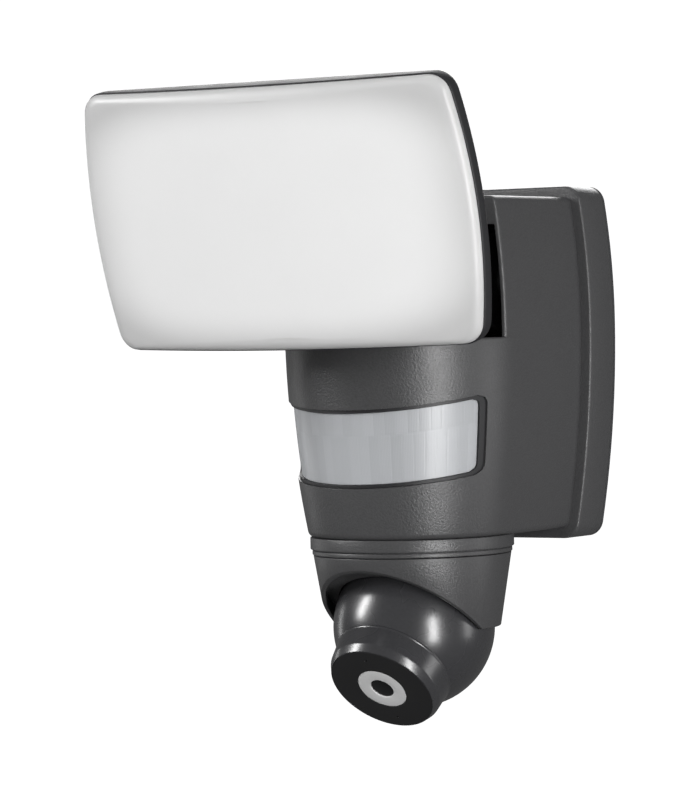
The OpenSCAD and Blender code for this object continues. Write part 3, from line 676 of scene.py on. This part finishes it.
def sensor_lens_finish(hex_colour):
    """Milky polyethylene: facets that differ a little in tone, and fine upright ribs."""
    tree = material("fresnel_lens")
    s = bpy.context.scene.floodlight_sensor
    parts = add(tree, "SeparateXYZ", {"Vector": add(tree, "TexCoord").outputs["UV"]})
    along, level = parts.outputs["X"], parts.outputs["Y"]

    def work(operation, *values):
        node = add(tree, "Math", dict(enumerate(values)), operation=operation)
        return node.outputs[0]

    # The facets' columns, which are shifted by half a facet in the upper row
    upper = work("GREATER_THAN", level, row_split() * PER_METRE)
    shift = work("MULTIPLY_ADD", upper, 0.5, 0.0)
    column = work("MULTIPLY_ADD", along, 1 / (s.facet * PER_METRE), shift)
    spot = add(tree, "CombineXYZ", {"X": work("FLOOR", column), "Y": upper})
    tone = add(tree, "TexWhiteNoise", {"Vector": spot.outputs[0]}, noise_dimensions="3D")
    rib_pitch = 0.7 * MM
    wave = work("SINE", work("MULTIPLY", along, 2 * pi / (rib_pitch * PER_METRE)))
    light = {"Value": tone.outputs["Value"], "To Min": 0.92, "To Max": 1.04}
    ribbed = work("MULTIPLY_ADD", wave, 0.025, add(tree, "MapRange", light).outputs["Result"])
    base = add(tree, "HueSaturation", {"Color": linear(hex_colour), "Value": ribbed})
    bump = add(tree, "Bump", {"Height": wave, "Distance": 0.01 * MM, "Strength": 0.5})
    surface(
        tree,
        {
            "Base Color": base.outputs["Color"],
            "Roughness": 0.42,
            "Normal": bump.outputs["Normal"],
            "IOR": 1.51,
            "Subsurface Weight": 0.3,
            "Subsurface Radius": (1.0, 1.0, 1.0),
            "Subsurface Scale": 2 * MM,
            "Coat Weight": 0.25,
            "Coat Roughness": 0.3,
        },
    )


def opal_cover_finish(hex_colour):
    """Opal acrylic: white and satin, with painted shade that greys it towards its edges."""
    tree = material("opal_cover")
    h = bpy.context.scene.floodlight_head
    middle = head_matrix() @ Vector((0, -h.reach, h.up))
    # The painted shade starts a little sooner at top and bottom than at the ends
    half_size = (h.width / 2, 1, 0.94 * h.height / 2)
    place = add(tree, "TexCoord").outputs["Object"]
    centred = add(
        tree,
        "Mapping",
        {
            "Vector": place,
            "Location": middle,
            "Rotation": (h.tilt, 0, 0),
            "Scale": half_size,
        },
        vector_type="TEXTURE",
    )
    parts = add(tree, "SeparateXYZ", {"Vector": centred.outputs["Vector"]})
    # How near a point is to the edge: the fourth powers of both shares of the half size
    powers = []
    for axis in "XZ":
        square = add(tree, "Math", {0: parts.outputs[axis], 1: 2.0}, operation="POWER")
        powers.append(add(tree, "Math", {0: square.outputs[0], 1: 2.0}, operation="POWER"))
    wide, tall = (power.outputs[0] for power in powers)
    edge = add(tree, "Math", {0: wide, 1: tall}, operation="ADD")
    cloud = add(tree, "TexNoise", {"Vector": place, "Scale": 40.0, "Detail": 3.0}).outputs["Fac"]
    # Painted shade: the colour falls smoothly to two thirds of its brightness towards the edges
    painted_shade_fall = {"From Min": 0.2, "From Max": 1.2, "To Min": 1.0, "To Max": 0.66}
    shade = add(
        tree, "MapRange", {"Value": edge.outputs[0], **painted_shade_fall}, interpolation_type="SMOOTHSTEP"
    )
    # Faint random clouds of tone on top of the painted shade
    mixed = {0: cloud, 1: 0.02, 2: shade.outputs["Result"]}
    cloud_and_painted_shade = add(tree, "Math", mixed, operation="MULTIPLY_ADD").outputs[0]
    base = add(tree, "HueSaturation", {"Color": linear(hex_colour), "Value": cloud_and_painted_shade})
    gloss = add(tree, "MapRange", {"Value": cloud, "To Min": 0.36, "To Max": 0.44})
    surface(
        tree,
        {
            "Base Color": base.outputs["Color"],
            "Roughness": gloss.outputs["Result"],
            "IOR": 1.49,
            "Subsurface Weight": 0.25,
            "Subsurface Radius": (1.0, 1.0, 1.0),
            "Subsurface Scale": 3 * MM,
        },
    )


def make_finishes():
    f = bpy.context.scene.floodlight_finish
    # Spark-eroded moulded ASA: matt, with an even grain that glitters where light grazes it.
    # The real grain is about 0.4 mm and is drawn at 0.9 mm, so that it shows.
    grained("textured_housing", f.housing, 0.38, 0.9, 0.16)
    # Moulded ASA with a finer spark texture: duller and darker
    grained("head_plastic", f.head, 0.5, 0.6, 0.03, **{"Specular IOR Level": 0.3})
    # Polished moulding with a trace of flow unevenness: satin, with broad clear highlights
    grained(
        "ball_plastic",
        f.ball,
        0.27,
        1.4,
        0.012,
        spread=0.06,
        **{"Coat Weight": 0.35, "Coat Roughness": 0.24},
    )
    # Moulded black ABS: dull frames and brackets that are hardly seen
    grained("frame_plastic", "#1e1e20", 0.5, 0.6, 0.03)
    grained("inner_plastic", "#262628", 0.55, 0.8, 0.03)
    # Hard-coated acrylic with a matt black print behind it: dull
    grained("window_black", f.window, 0.5, 0.5, 0.006, spread=0.08, edge=0.2)
    # Translucent polycarbonate: milky, slightly glossy
    grained("ring_diffuser", f.ring, 0.35, 1.0, 0.004, spread=0.03, edge=0.2)
    opal_cover_finish(f.cover)
    sensor_lens_finish(f.lens)
    # Closed-cell foam: dead matt, pitted with cells
    grained("seal_foam", "#38383a", 0.9, 0.8, 0.2)
    # Moulded rubber: a dull skin
    grained("seal_rubber", "#161617", 0.72, 0.5, 0.03)
    # Moulded polyamide: cream, with a faint sheen
    grained("terminal_plastic", "#dcd6c2", 0.45, 1.0, 0.02)
    # Moulded flame-proof ABS: blue-grey and dull
    grained("module_case", "#3c4248", 0.55, 0.7, 0.03)
    # Moulded epoxy of chips and coils: patchy dark grey
    grained("components", "#262729", 0.4, 1.5, 0.02, spread=0.3)
    # Polyimide film: amber and smooth
    grained("antenna_film", "#a88f4a", 0.35, 1.2, 0.01)
    # Solder mask over copper tracks: glossy green, lighter over the tracks
    grained("circuit_board", "#0f4a24", 0.3, 1.6, 0.03, spread=0.3)
    # White solder mask: smooth
    grained("white_board", "#ececea", 0.4, 1.5, 0.02, spread=0.05)
    # Moulded polycarbonate: bright white with a soft gloss
    grained("white_tray", "#efefef", 0.3, 2.0, 0.01, spread=0.02)
    # Silicone with phosphor: yellow
    grained("led_phosphor", "#f0d860", 0.35, 0.5, 0.01)
    # Black powder coat on pressed steel: slightly pebbled
    grained("bracket_steel", "#2b2b2d", 0.5, 0.7, 0.04)
    # Zinc-plated steel sheet: satin, with rolling marks
    metal("zinc_steel", "#b9bbbd", 0.38)
    # Nickel-plated steel: brighter
    metal("sensor_can", "#c4c4c2", 0.28)
    # Stainless steel: bright, with turning marks
    metal("screw_steel", "#b4b4b2", 0.3)
    # Cast aluminium: a coarser and even skin
    metal("cast_aluminium", "#bfc1c3", 0.45, scratch=(1500, 1500, 1500), depth=0.03)
    # Coated optical glass: nearly black, with sharp reflections
    grained(
        "lens_glass",
        "#050608",
        0.12,
        5.0,
        0.0005,
        spread=0.02,
        **{"Coat Weight": 0.3, "Coat Roughness": 0.05},
    )


# ---- operators: one for each piece or group of like pieces ----


class FLOODLIGHT_OT_finishes(bpy.types.Operator):
    """Makes every finish and gives the carried-over parts theirs"""

    bl_idname = "floodlight.finishes"
    bl_label = "Finishes"

    def execute(self, context):
        make_finishes()
        for part in frame["record"]["subparts"]:
            node = frame["nodes"][part["node"]]
            node.data.materials.clear()
            node.data.materials.append(FINISH[part["material_slot"]])
        return {"FINISHED"}


class FLOODLIGHT_OT_wall_box(bpy.types.Operator):
    """Models the box that stands on the wall"""

    bl_idname = "floodlight.wall_box"
    bl_label = "Wall box"

    def execute(self, context):
        s = context.scene.floodlight_body
        margin = BOX_HI.x - BODY_HI.x
        outer, inner = body_outline(margin), body_outline(margin - s.box_wall)
        inmost = body_outline(margin - 3 * s.box_wall)
        front, back = BOX_LO.y, BOX_HI.y
        floor = front + s.box_wall
        stations = [
            (inmost, floor, 0),
            (inner, floor, 0.6 * MM),
            (inner, back, 0.2 * MM),
            (outer, back, 0.4 * MM),
            (outer, front, s.box_edge),
            (inner, front, 0),
        ]
        cuts = [c for _, _, c in stations[1:-1]]
        paths = [
            rounded([Vector((ring[i][0], y, ring[i][1])) for ring, y, _ in stations], cuts)
            for i in range(len(outer))
        ]
        piece = skin("wall_box_moulding", list(zip(*paths)))
        finished(piece, "housing", "textured_housing", "wall_box")
        return {"FINISHED"}


class FLOODLIGHT_OT_body(bpy.types.Operator):
    """Models the body with its ledge, the arm's pocket and the sensor's window"""

    bl_idname = "floodlight.body"
    bl_label = "Body"

    def execute(self, context):
        s = context.scene.floodlight_body
        pan = PIVOT["camera_pan"].y
        face = pan - s.face_ahead
        body = body_form("body_case", 0, s.edge)
        cavity = body_form("cavity", -s.wall, 0)
        lo, hi = s.ledge_up, s.ledge_up + s.pocket_high

        def pocket(name, grow, front, back):
            """The arm's pocket as a block, grown outwards, with the body's own slanting sides."""
            rim = [
                (x, min(max(z, lo - grow), hi + grow))
                for x, z in body_outline(grow - s.pocket_side, side=40)
            ]
            rim = [p for i, p in enumerate(rim) if p != rim[i - 1]]
            return prism(name, [Vector((x, front, z)) for x, z in rim], (0, back - front, 0))

        deep = face + s.pocket_deep
        past_face, past_drum = 9 * MM, 60 * MM
        cut(cavity, pocket("pocket_walls", s.wall, face - past_face, deep + s.wall))
        cut(body, cavity, pocket("pocket_space", 0, face - past_drum, deep))
        sensor = context.scene.floodlight_sensor
        window = facing_out(
            sensor_patch(
                "window",
                sensor.high + 2 * sensor.rim,
                sensor.wrap + radians(4),
                -3 * MM,
                sensor.corner + sensor.rim,
                72,
                24,
            )
        )
        cut(body, thickened(window, 10 * MM))
        deselect()
        bpy.ops.mesh.primitive_cylinder_add(
            vertices=96,
            radius=context.scene.floodlight_camera.hub / 2 + 1 * MM,  # the hub turns in it
            depth=8 * MM,
            location=(0, pan, BODY_LO.z),
        )
        cut(body, named("hub_hole"))
        finished(body, "housing", "textured_housing", "body_shell")
        return {"FINISHED"}


class FLOODLIGHT_OT_sensor(bpy.types.Operator):
    """Models the motion sensor's faceted lens and the frame round it"""

    bl_idname = "floodlight.sensor"
    bl_label = "Motion sensor"

    def execute(self, context):
        s = context.scene.floodlight_sensor
        split = row_split()
        deep, wide = 0.05 * MM, 0.35 * MM

        def groove(along, v):
            """A fine valley between facets, which are shifted half a facet in the upper row."""
            shift = s.facet / 2 if v > split else 0
            off = (along + shift) % s.facet
            near = min(off, s.facet - off, abs(v - split))
            return deep * max(1 - near / wide, 0)

        lens = facing_out(
            sensor_patch("sensor_window_lens", s.high, s.wrap, s.sunk, s.corner, 400, 60, groove)
        )
        finished(thickened(lens, s.thick), "housing", "fresnel_lens", "sensor_lens")
        outer, inner = s.high + 2 * s.rim - FIT, s.high + FIT
        ends, round_off = s.wrap + radians(3.95), s.corner + s.rim
        rim = facing_out(
            sensor_patch("sensor_surround", outer, ends, 0.8 * MM, round_off, 96, 28)
        )
        ends = s.wrap + radians(0.05)
        hole = facing_out(sensor_patch("hole", inner, ends, -4 * MM, s.corner, 96, 28))
        cut(thickened(rim, 4.2 * MM), thickened(hole, 14 * MM))
        finished(rim, "housing", "frame_plastic", "sensor_frame")
        return {"FINISHED"}


class FLOODLIGHT_OT_head(bpy.types.Operator):
    """Models the light head's housing and its bowed light cover"""

    bl_idname = "floodlight.head"
    bl_label = "Light head"

    def execute(self, context):
        s = context.scene.floodlight_head
        cover, rim = -s.reach, s.cover_edge - s.reach
        taper, back = rim + s.rim_deep, rim + s.rim_deep + s.back_deep
        half, middle, low, high = 62 * MM, 2.5 * MM, -28 * MM, 33 * MM
        straight, corner = 10.0, 6 * MM

        def back_ring(grow):
            """The flat back's outline, whose sides are all but straight: arcs of 10 m."""
            return outline(half, straight, straight, middle, low, high, corner, grow, flat=32)

        housing = head_skin(
            "head_case",
            [
                (back_ring(-6 * MM), back - s.wall, False, 0),
                (back_ring(-s.wall), back - s.wall, False, 1 * MM),
                (head_outline(-s.wall), taper, False, 1 * MM),
                (head_outline(-s.wall), rim, True, 0.3 * MM),
                (head_outline(0), rim, True, 0.7 * MM),
                (head_outline(0), taper, False, 1.6 * MM),
                (back_ring(0), back, False, 2.5 * MM),
                (back_ring(-6 * MM), back, False, 0),
            ],
        )
        finished(housing, "light_head", "head_plastic", "head_housing", smooth=30)
        lip = head_outline(-0.6 * MM)
        inside = head_outline(-3.4 * MM)
        seat = rim - 0.8 * MM
        front = [(scaled(lip, f), cover, True, 0) for f in (0.9, 0.75, 0.55, 0.35, 0.15, 0.001)]
        light = head_skin(
            "light_diffuser",
            [(scaled(inside, f), cover + 2 * MM, True, 0) for f in (0.001, 0.3, 0.6, 0.85)]
            + [
                (inside, cover + 2 * MM, True, 1 * MM),
                (inside, seat, True, 0),
                (head_outline(-1.4 * MM), seat, True, 0),
                (head_outline(-1.4 * MM), rim, True, 0),
                (lip, rim, True, 0.2 * MM),
                (lip, cover, True, (s.cover_edge - 0.5 * MM, s.cover_round)),
            ]
            + front,
        )
        finished(light, "light_head", "opal_cover", "light_cover", smooth=30)
        return {"FINISHED"}


class FLOODLIGHT_OT_arm(bpy.types.Operator):
    """Models the arm and its drum, which turn in the body's pocket"""

    bl_idname = "floodlight.arm"
    bl_label = "Arm"

    def execute(self, context):
        s = context.scene.floodlight_head
        # Its side as (y, z) in mm from the hinge: from under the drum to the head's back, up
        # that back and over to the drum again, whose arc closes it
        back = (s.cover_edge + s.rim_deep + s.back_deep - s.reach) / MM
        low = (s.up - 27 * MM) / MM
        high = (s.up - 27 * MM + 23 * MM) / MM
        way = [(-20, -12), (back, low), (back, high), (back + 12, high - 1), (-36, 20)]
        r = s.drum / 2 / MM
        start, end = atan2(-13.2, -17.6), atan2(6.85, -20.95)
        drum = [(r * cos(a), r * sin(a)) for a in steps(start, end, 56)]
        points = [Vector((-s.arm_wide / 2, y * MM, z * MM)) for y, z in drum + way[::-1]]
        arm = prism("head_arm_moulding", points, (s.arm_wide, 0, 0))
        bevel_faces(arm, (Vector((1, 0, 0)), Vector((-1, 0, 0))), 1.2 * MM, 3)
        arm.data.transform(head_matrix())
        finished(arm, "light_head", "textured_housing", "head_arm")
        return {"FINISHED"}


class FLOODLIGHT_OT_holder(bpy.types.Operator):
    """Models the fixed collar with its bead, and the holder that turns under it"""

    bl_idname = "floodlight.holder"
    bl_label = "Collar and holder"

    def execute(self, context):
        s = context.scene.floodlight_camera
        top = BODY_LO.z
        low = top - s.collar_high
        bead = low - s.bead_high
        r, hub = s.collar / 2, s.hub / 2 + FIT
        in_bead = r - 0.8 * MM
        profile = rounded_profile(
            [
                (hub, top),
                (r, top),
                (r, low + 0.1 * MM),
                (in_bead - 0.5 * MM, low + 0.1 * MM),
                (in_bead - 0.5 * MM, low - 0.2 * MM),
                (in_bead, low - 0.2 * MM),
                (in_bead, bead),
                (hub, bead),
            ],
            [0.3 * MM, 0.4 * MM, 0, 0, 0.5 * MM, 0.35 * MM],
        )
        collar = turned("collar_band", profile, pan_matrix())
        finished(collar, "housing", "textured_housing", "collar")
        middle = PIVOT["camera_tilt"].z
        high = bead - GAP
        crown = BODY_LO.z + context.scene.floodlight_body.wall + GAP
        socket = s.ball / 2 + 0.5 * MM  # the hollow that the ball turns in
        bore = 10 * MM  # the hole for the wires, on the radius
        dome = [
            (socket * cos(a), middle + socket * sin(a))
            for a in steps(0, pi / 2 - asin(bore / socket), 40)
        ]
        wall = [
            (bore, crown),
            (s.hub / 2, crown),
            (s.hub / 2, high),
            (s.holder_top / 2, high),
            (s.holder_low / 2, middle),
            (socket, middle),
        ]
        shell = rounded_profile(wall, [0.3 * MM, 0, 0.35 * MM, 0.5 * MM])
        holder = turned("holder_cup", shell + dome[1:], pan_matrix(), 160)
        # The front is cut off by a slope that starts a little ahead of the ball's middle
        start, far = -4.4 * MM, -s.holder_top
        slope = tan(s.holder_cut)
        wedge = [(start, 0), (start, -10 * MM), (far, -10 * MM), (far, slope * (start - far))]
        wide = s.holder_top
        axis = PIVOT["camera_tilt"]
        points = [Vector((-wide, axis.y + y, axis.z + z)) for y, z in wedge]
        cut(holder, prism("front_wedge", points, (2 * wide, 0, 0)))
        # Behind the cut the holder is hollow, down to a wall
        back, up = start + s.hollow * sin(s.holder_cut), s.hollow * cos(s.holder_cut)
        end = far + s.hollow * sin(s.holder_cut)
        behind = [(back, -wide), (wide, -wide), (wide, wide), (end, wide)]
        behind += [(end, slope * (start - far) + up), (back, up)]
        under = 1 * MM
        hollow = turned(
            "hollow",
            [
                (0, middle - under),
                (s.holder_low / 2 - s.holder_wall, middle - under),
                (s.holder_low / 2 - s.holder_wall, middle),
                (s.holder_top / 2 - s.holder_wall, high - s.holder_wall),
                (0, high - s.holder_wall),
            ],
            pan_matrix(),
            160,
        )
        points = [Vector((-wide, axis.y + y, axis.z + z)) for y, z in behind]
        cut(hollow, prism("behind_hollow", points, (2 * wide, 0, 0)))
        cut(holder, hollow)
        sloping = Vector((0, -sin(s.holder_cut), -cos(s.holder_cut)))
        bevel_faces(holder, (sloping, Vector((0, 0, -1))), 0.45 * MM)
        finished(holder, "camera_mount", "textured_housing", "camera_holder")
        return {"FINISHED"}


class FLOODLIGHT_OT_ball(bpy.types.Operator):
    """Models the ball with its slot, and the barrel on its front"""

    bl_idname = "floodlight.ball"
    bl_label = "Ball and barrel"

    def execute(self, context):
        s = context.scene.floodlight_camera
        place = camera_matrix()
        r, inner = s.ball / 2, s.ball / 2 - s.ball_wall
        mouth = s.barrel / 2 - 2.4 * MM
        outside = [(r * sin(a), r * cos(a)) for a in steps(asin(mouth / r), pi, 72)]
        inside = [(inner * sin(a), inner * cos(a)) for a in steps(pi, asin(mouth / inner), 48)]
        outside[-1], inside[0] = (0, -r), (0, -inner)
        ball = turned("ball_housing", outside + inside, place, 144)
        # The slot for the post leans 5 degrees back, to serve the tilt's whole range
        half, deep, low, lean = 5.5 * MM, 21.4 * MM, 15 * MM, radians(-137.5)
        corners = ((-half, -deep), (half, -deep), (half, deep), (-half, deep))
        slot = prism("slot", [Vector((x, y, low)) for x, y in corners], (0, 0, 30 * MM))
        slot.data.transform(place @ Matrix.Rotation(lean, 4, "X"))
        cut(ball, slot)
        finished(ball, "ball_camera", "ball_plastic", "ball_shell")
        rim, front, seat = s.barrel / 2, s.reach, s.reach - WINDOW_THICK
        window, socket = rim - s.bezel_in - s.lip, s.ring / 2 + 3 * MM
        step = front - s.bezel
        low = sqrt(r * r - rim * rim) - 3 * MM

        def cone(z):
            """The barrel's radius at a level."""
            return rim + s.flare * (step - z) / (step - low)

        meet = low  # where the cone comes out of the ball
        while hypot(cone(meet), meet) < r:
            meet += 0.05 * MM
        proud = 0.25 * MM  # of the fine edge round the barrel's foot
        profile = rounded_profile(
            [
                (mouth, meet + 1.5 * MM),
                (cone(meet) - 0.6 * MM, meet - 0.4 * MM),
                (cone(meet) + proud, meet),
                (cone(meet) + proud, meet + 0.7 * MM),
                (cone(meet), meet + 1.1 * MM),
                (rim, step),
                (rim - s.bezel_in, front),
                (window + FIT, front),
                (window + FIT, seat - FIT),
                (socket, seat - FIT),
                (socket, seat - 3 * MM),
                (mouth, seat - 3 * MM),
            ],
            [0, 0.3 * MM, 0.3 * MM, 0.2 * MM, 0.4 * MM, 0.2 * MM, 0.1 * MM, 0, 0, 0],
        )
        barrel = turned("barrel_ring", profile, place, 144)
        finished(barrel, "ball_camera", "ball_plastic", "camera_barrel")
        return {"FINISHED"}


class FLOODLIGHT_OT_camera_front(bpy.types.Operator):
    """Models the black window with its two pin holes, the light ring and the lens"""

    bl_idname = "floodlight.camera_front"
    bl_label = "Camera front"

    def execute(self, context):
        s = context.scene.floodlight_camera
        place = camera_matrix()
        front, back = s.reach, s.reach - WINDOW_THICK
        edge, ring, lens = s.barrel / 2 - s.bezel_in - s.lip, s.ring / 2, s.lens / 2
        profile = rounded_profile(
            [(ring, back), (edge, back), (edge, front), (ring, front), (ring, front - 0.3 * MM)],
            [0.1 * MM, 0.25 * MM, 0.15 * MM],
        )
        window = turned("window_disc", profile, place, 128)
        pin_out = 17.5 * MM
        for side in (-1, 1):
            deselect()
            bpy.ops.mesh.primitive_cylinder_add(vertices=24, radius=0.5 * MM, depth=6 * MM)
            pin = named("pin_hole")
            pin.data.transform(place @ Matrix.Translation((0, side * pin_out, front)))
            cut(window, pin)
        finished(window, "ball_camera", "window_black", "front_window")
        low, flange, face = back - 1 * MM, ring + 2 * MM, front - 0.1 * MM
        profile = rounded_profile(
            [
                (lens, low),
                (flange, low),
                (flange, back),
                (ring - 0.02 * MM, back),
                (ring - 0.02 * MM, face),
                (lens, face),
                (lens, low + 0.5 * MM),
            ],
            [0, 0, 0, 0.3 * MM, 0.3 * MM],
        )
        glow = turned("glow_ring", profile, place, 96)
        finished(glow, "ball_camera", "ring_diffuser", "light_ring")
        base, crown = s.reach - 2.5 * MM, s.reach - 0.15 * MM
        bulge = arc_radius(lens, 0.4 * MM)
        dome = [
            (bulge * sin(a), crown - bulge + bulge * cos(a))
            for a in steps(asin(lens / bulge), 0, 12)
        ]
        dome[-1] = (0, dome[-1][1])
        glass = turned("lens_front", dome + [(0, base), (lens, base)], place, 64)
        finished(glass, "ball_camera", "lens_glass", "lens_glass")
        return {"FINISHED"}


class FLOODLIGHT_OT_stage(bpy.types.Operator):
    """Sets the floor, the lights and the camera"""

    bl_idname = "floodlight.stage"
    bl_label = "Stage"

    def execute(self, context):
        scene = context.scene
        f = scene.floodlight_finish
        tree = material("stage_white")
        place = add(tree, "TexCoord").outputs["Object"]
        cloud = add(tree, "TexNoise", {"Vector": place, "Scale": 2.0})
        rough = add(tree, "MapRange", {"Value": cloud.outputs["Fac"], "To Min": 0.7, "To Max": 0.8})
        surface(
            tree,
            {
                "Base Color": linear(f.stage),
                "Roughness": rough.outputs["Result"],
                "Emission Color": (1, 1, 1, 1),
                "Emission Strength": 0.9,
            },
        )
        # A white floor that runs up all round into a dome. It is seen, but throws no light
        # The light hangs at wall height: 1.6 m of air are under it
        level, wide, tall = CAD_BOX[0][2] - 1.6, 6.0, 6.0
        inside = rounded_profile(
            [(0, level), (wide, level), (wide, tall), (0, tall)], [3.0, 3.0], 12
        )
        outside = [(r * 1.02, z + (0.05 if z > 1 else -0.05)) for r, z in inside[::-1]]
        floor = turned("studio_floor", inside + outside, Matrix(), 64)
        bpy.ops.object.shade_smooth()
        floor.data.materials.append(FINISH["stage_white"])
        floor.visible_diffuse = floor.visible_glossy = floor.visible_shadow = False
        floor.visible_transmission = False

        aim = Vector((-0.0209, -0.0922, -0.0134))  # what the camera and the lamps look at

        def lamp(name, azimuth, elevation, distance, size, power):
            """A soft box that faces the aim. Azimuth 0 is straight ahead of the wall."""
            a, e = radians(azimuth), radians(elevation)
            data = bpy.data.lights.new(name, "AREA")
            data.shape, data.size, data.size_y, data.energy = "RECTANGLE", *size, power
            light = bpy.data.objects.new(name, data)
            scene.collection.objects.link(light)
            way = Vector((sin(a) * cos(e), -cos(a) * cos(e), sin(e)))
            light.location = aim + way * distance
            light.rotation_euler = way.to_track_quat("Z", "Y").to_euler()
            return light

        lamp("key_left", -52, 20, 1.6, (0.32, 0.7), 19)
        lamp("key_right", 60, -4, 1.6, (0.27, 1.0), 24)
        lamp("side_right", 114, -2, 1.7, (0.35, 0.8), 4)
        lamp("edge_left", -98, -4, 1.6, (0.12, 0.6), 1.0)
        lamp("top", 20, 78, 1.6, (0.8, 0.8), 7)
        lamp("back", 205, 25, 2.0, (1.2, 1.2), 22)
        fill = lamp("front_fill", 10, 6, 2.6, (1.4, 1.2), 10)
        fill.visible_glossy = False
        world = scene.world or bpy.data.worlds.new("studio")
        scene.world = world
        world.use_nodes = True
        sky = world.node_tree.nodes["Background"]
        sky.inputs["Color"].default_value = (1, 1, 1, 1)
        sky.inputs["Strength"].default_value = 0.12
        scene.view_settings.view_transform = "Standard"
        scene.view_settings.look = "None"

        azimuth, elevation, roll = radians(33.2), radians(1.3), radians(-1.33)
        distance = 1.61
        back = Vector(
            (sin(azimuth) * cos(elevation), -cos(azimuth) * cos(elevation), sin(elevation))
        )
        right = Vector((cos(azimuth), sin(azimuth), 0))
        up = back.cross(right)
        across = right * cos(roll) + up * sin(roll)
        upward = up * cos(roll) - right * sin(roll)
        data = bpy.data.cameras.new("camera")
        data.sensor_width = 36
        data.lens = 171
        data.clip_start = 0.05
        camera = bpy.data.objects.new("camera", data)
        scene.collection.objects.link(camera)
        camera.matrix_world = Matrix.Translation(aim + back * distance) @ Matrix(
            (across, upward, back)
        ).transposed().to_4x4()
        scene.camera = camera
        return {"FINISHED"}


OPERATORS = [
    FLOODLIGHT_OT_finishes,
    FLOODLIGHT_OT_stage,
    FLOODLIGHT_OT_wall_box,
    FLOODLIGHT_OT_body,
    FLOODLIGHT_OT_sensor,
    FLOODLIGHT_OT_head,
    FLOODLIGHT_OT_arm,
    FLOODLIGHT_OT_holder,
    FLOODLIGHT_OT_ball,
    FLOODLIGHT_OT_camera_front,
]


class FLOODLIGHT_PT_panel(bpy.types.Panel):
    """Lists the sizes, the finishes and the steps that build the floodlight"""

    bl_idname = "FLOODLIGHT_PT_panel"
    bl_label = "Floodlight"
    bl_space_type = "VIEW_3D"
    bl_region_type = "UI"
    bl_category = "Floodlight"

    def draw(self, context):
        for name, group in GROUPS.items():
            box = self.layout.box()
            box.label(text=name.replace("floodlight_", "").capitalize())
            for key in group.__annotations__:
                box.prop(getattr(context.scene, name), key)
        for operator in OPERATORS:
            self.layout.operator(operator.bl_idname)


def register():
    for group in GROUPS.values():
        bpy.utils.register_class(group)
    for name, group in GROUPS.items():
        setattr(bpy.types.Scene, name, bpy.props.PointerProperty(type=group))
    for operator in OPERATORS:
        bpy.utils.register_class(operator)
    bpy.utils.register_class(FLOODLIGHT_PT_panel)


def unregister():
    bpy.utils.unregister_class(FLOODLIGHT_PT_panel)
    for operator in reversed(OPERATORS):
        bpy.utils.unregister_class(operator)
    for name, group in GROUPS.items():
        delattr(bpy.types.Scene, name)
        bpy.utils.unregister_class(group)


def main():
    register()
    for operator in OPERATORS:
        category, name = operator.bl_idname.split(".")
        getattr(getattr(bpy.ops, category), name)()


if __name__ == "__main__":
    main()
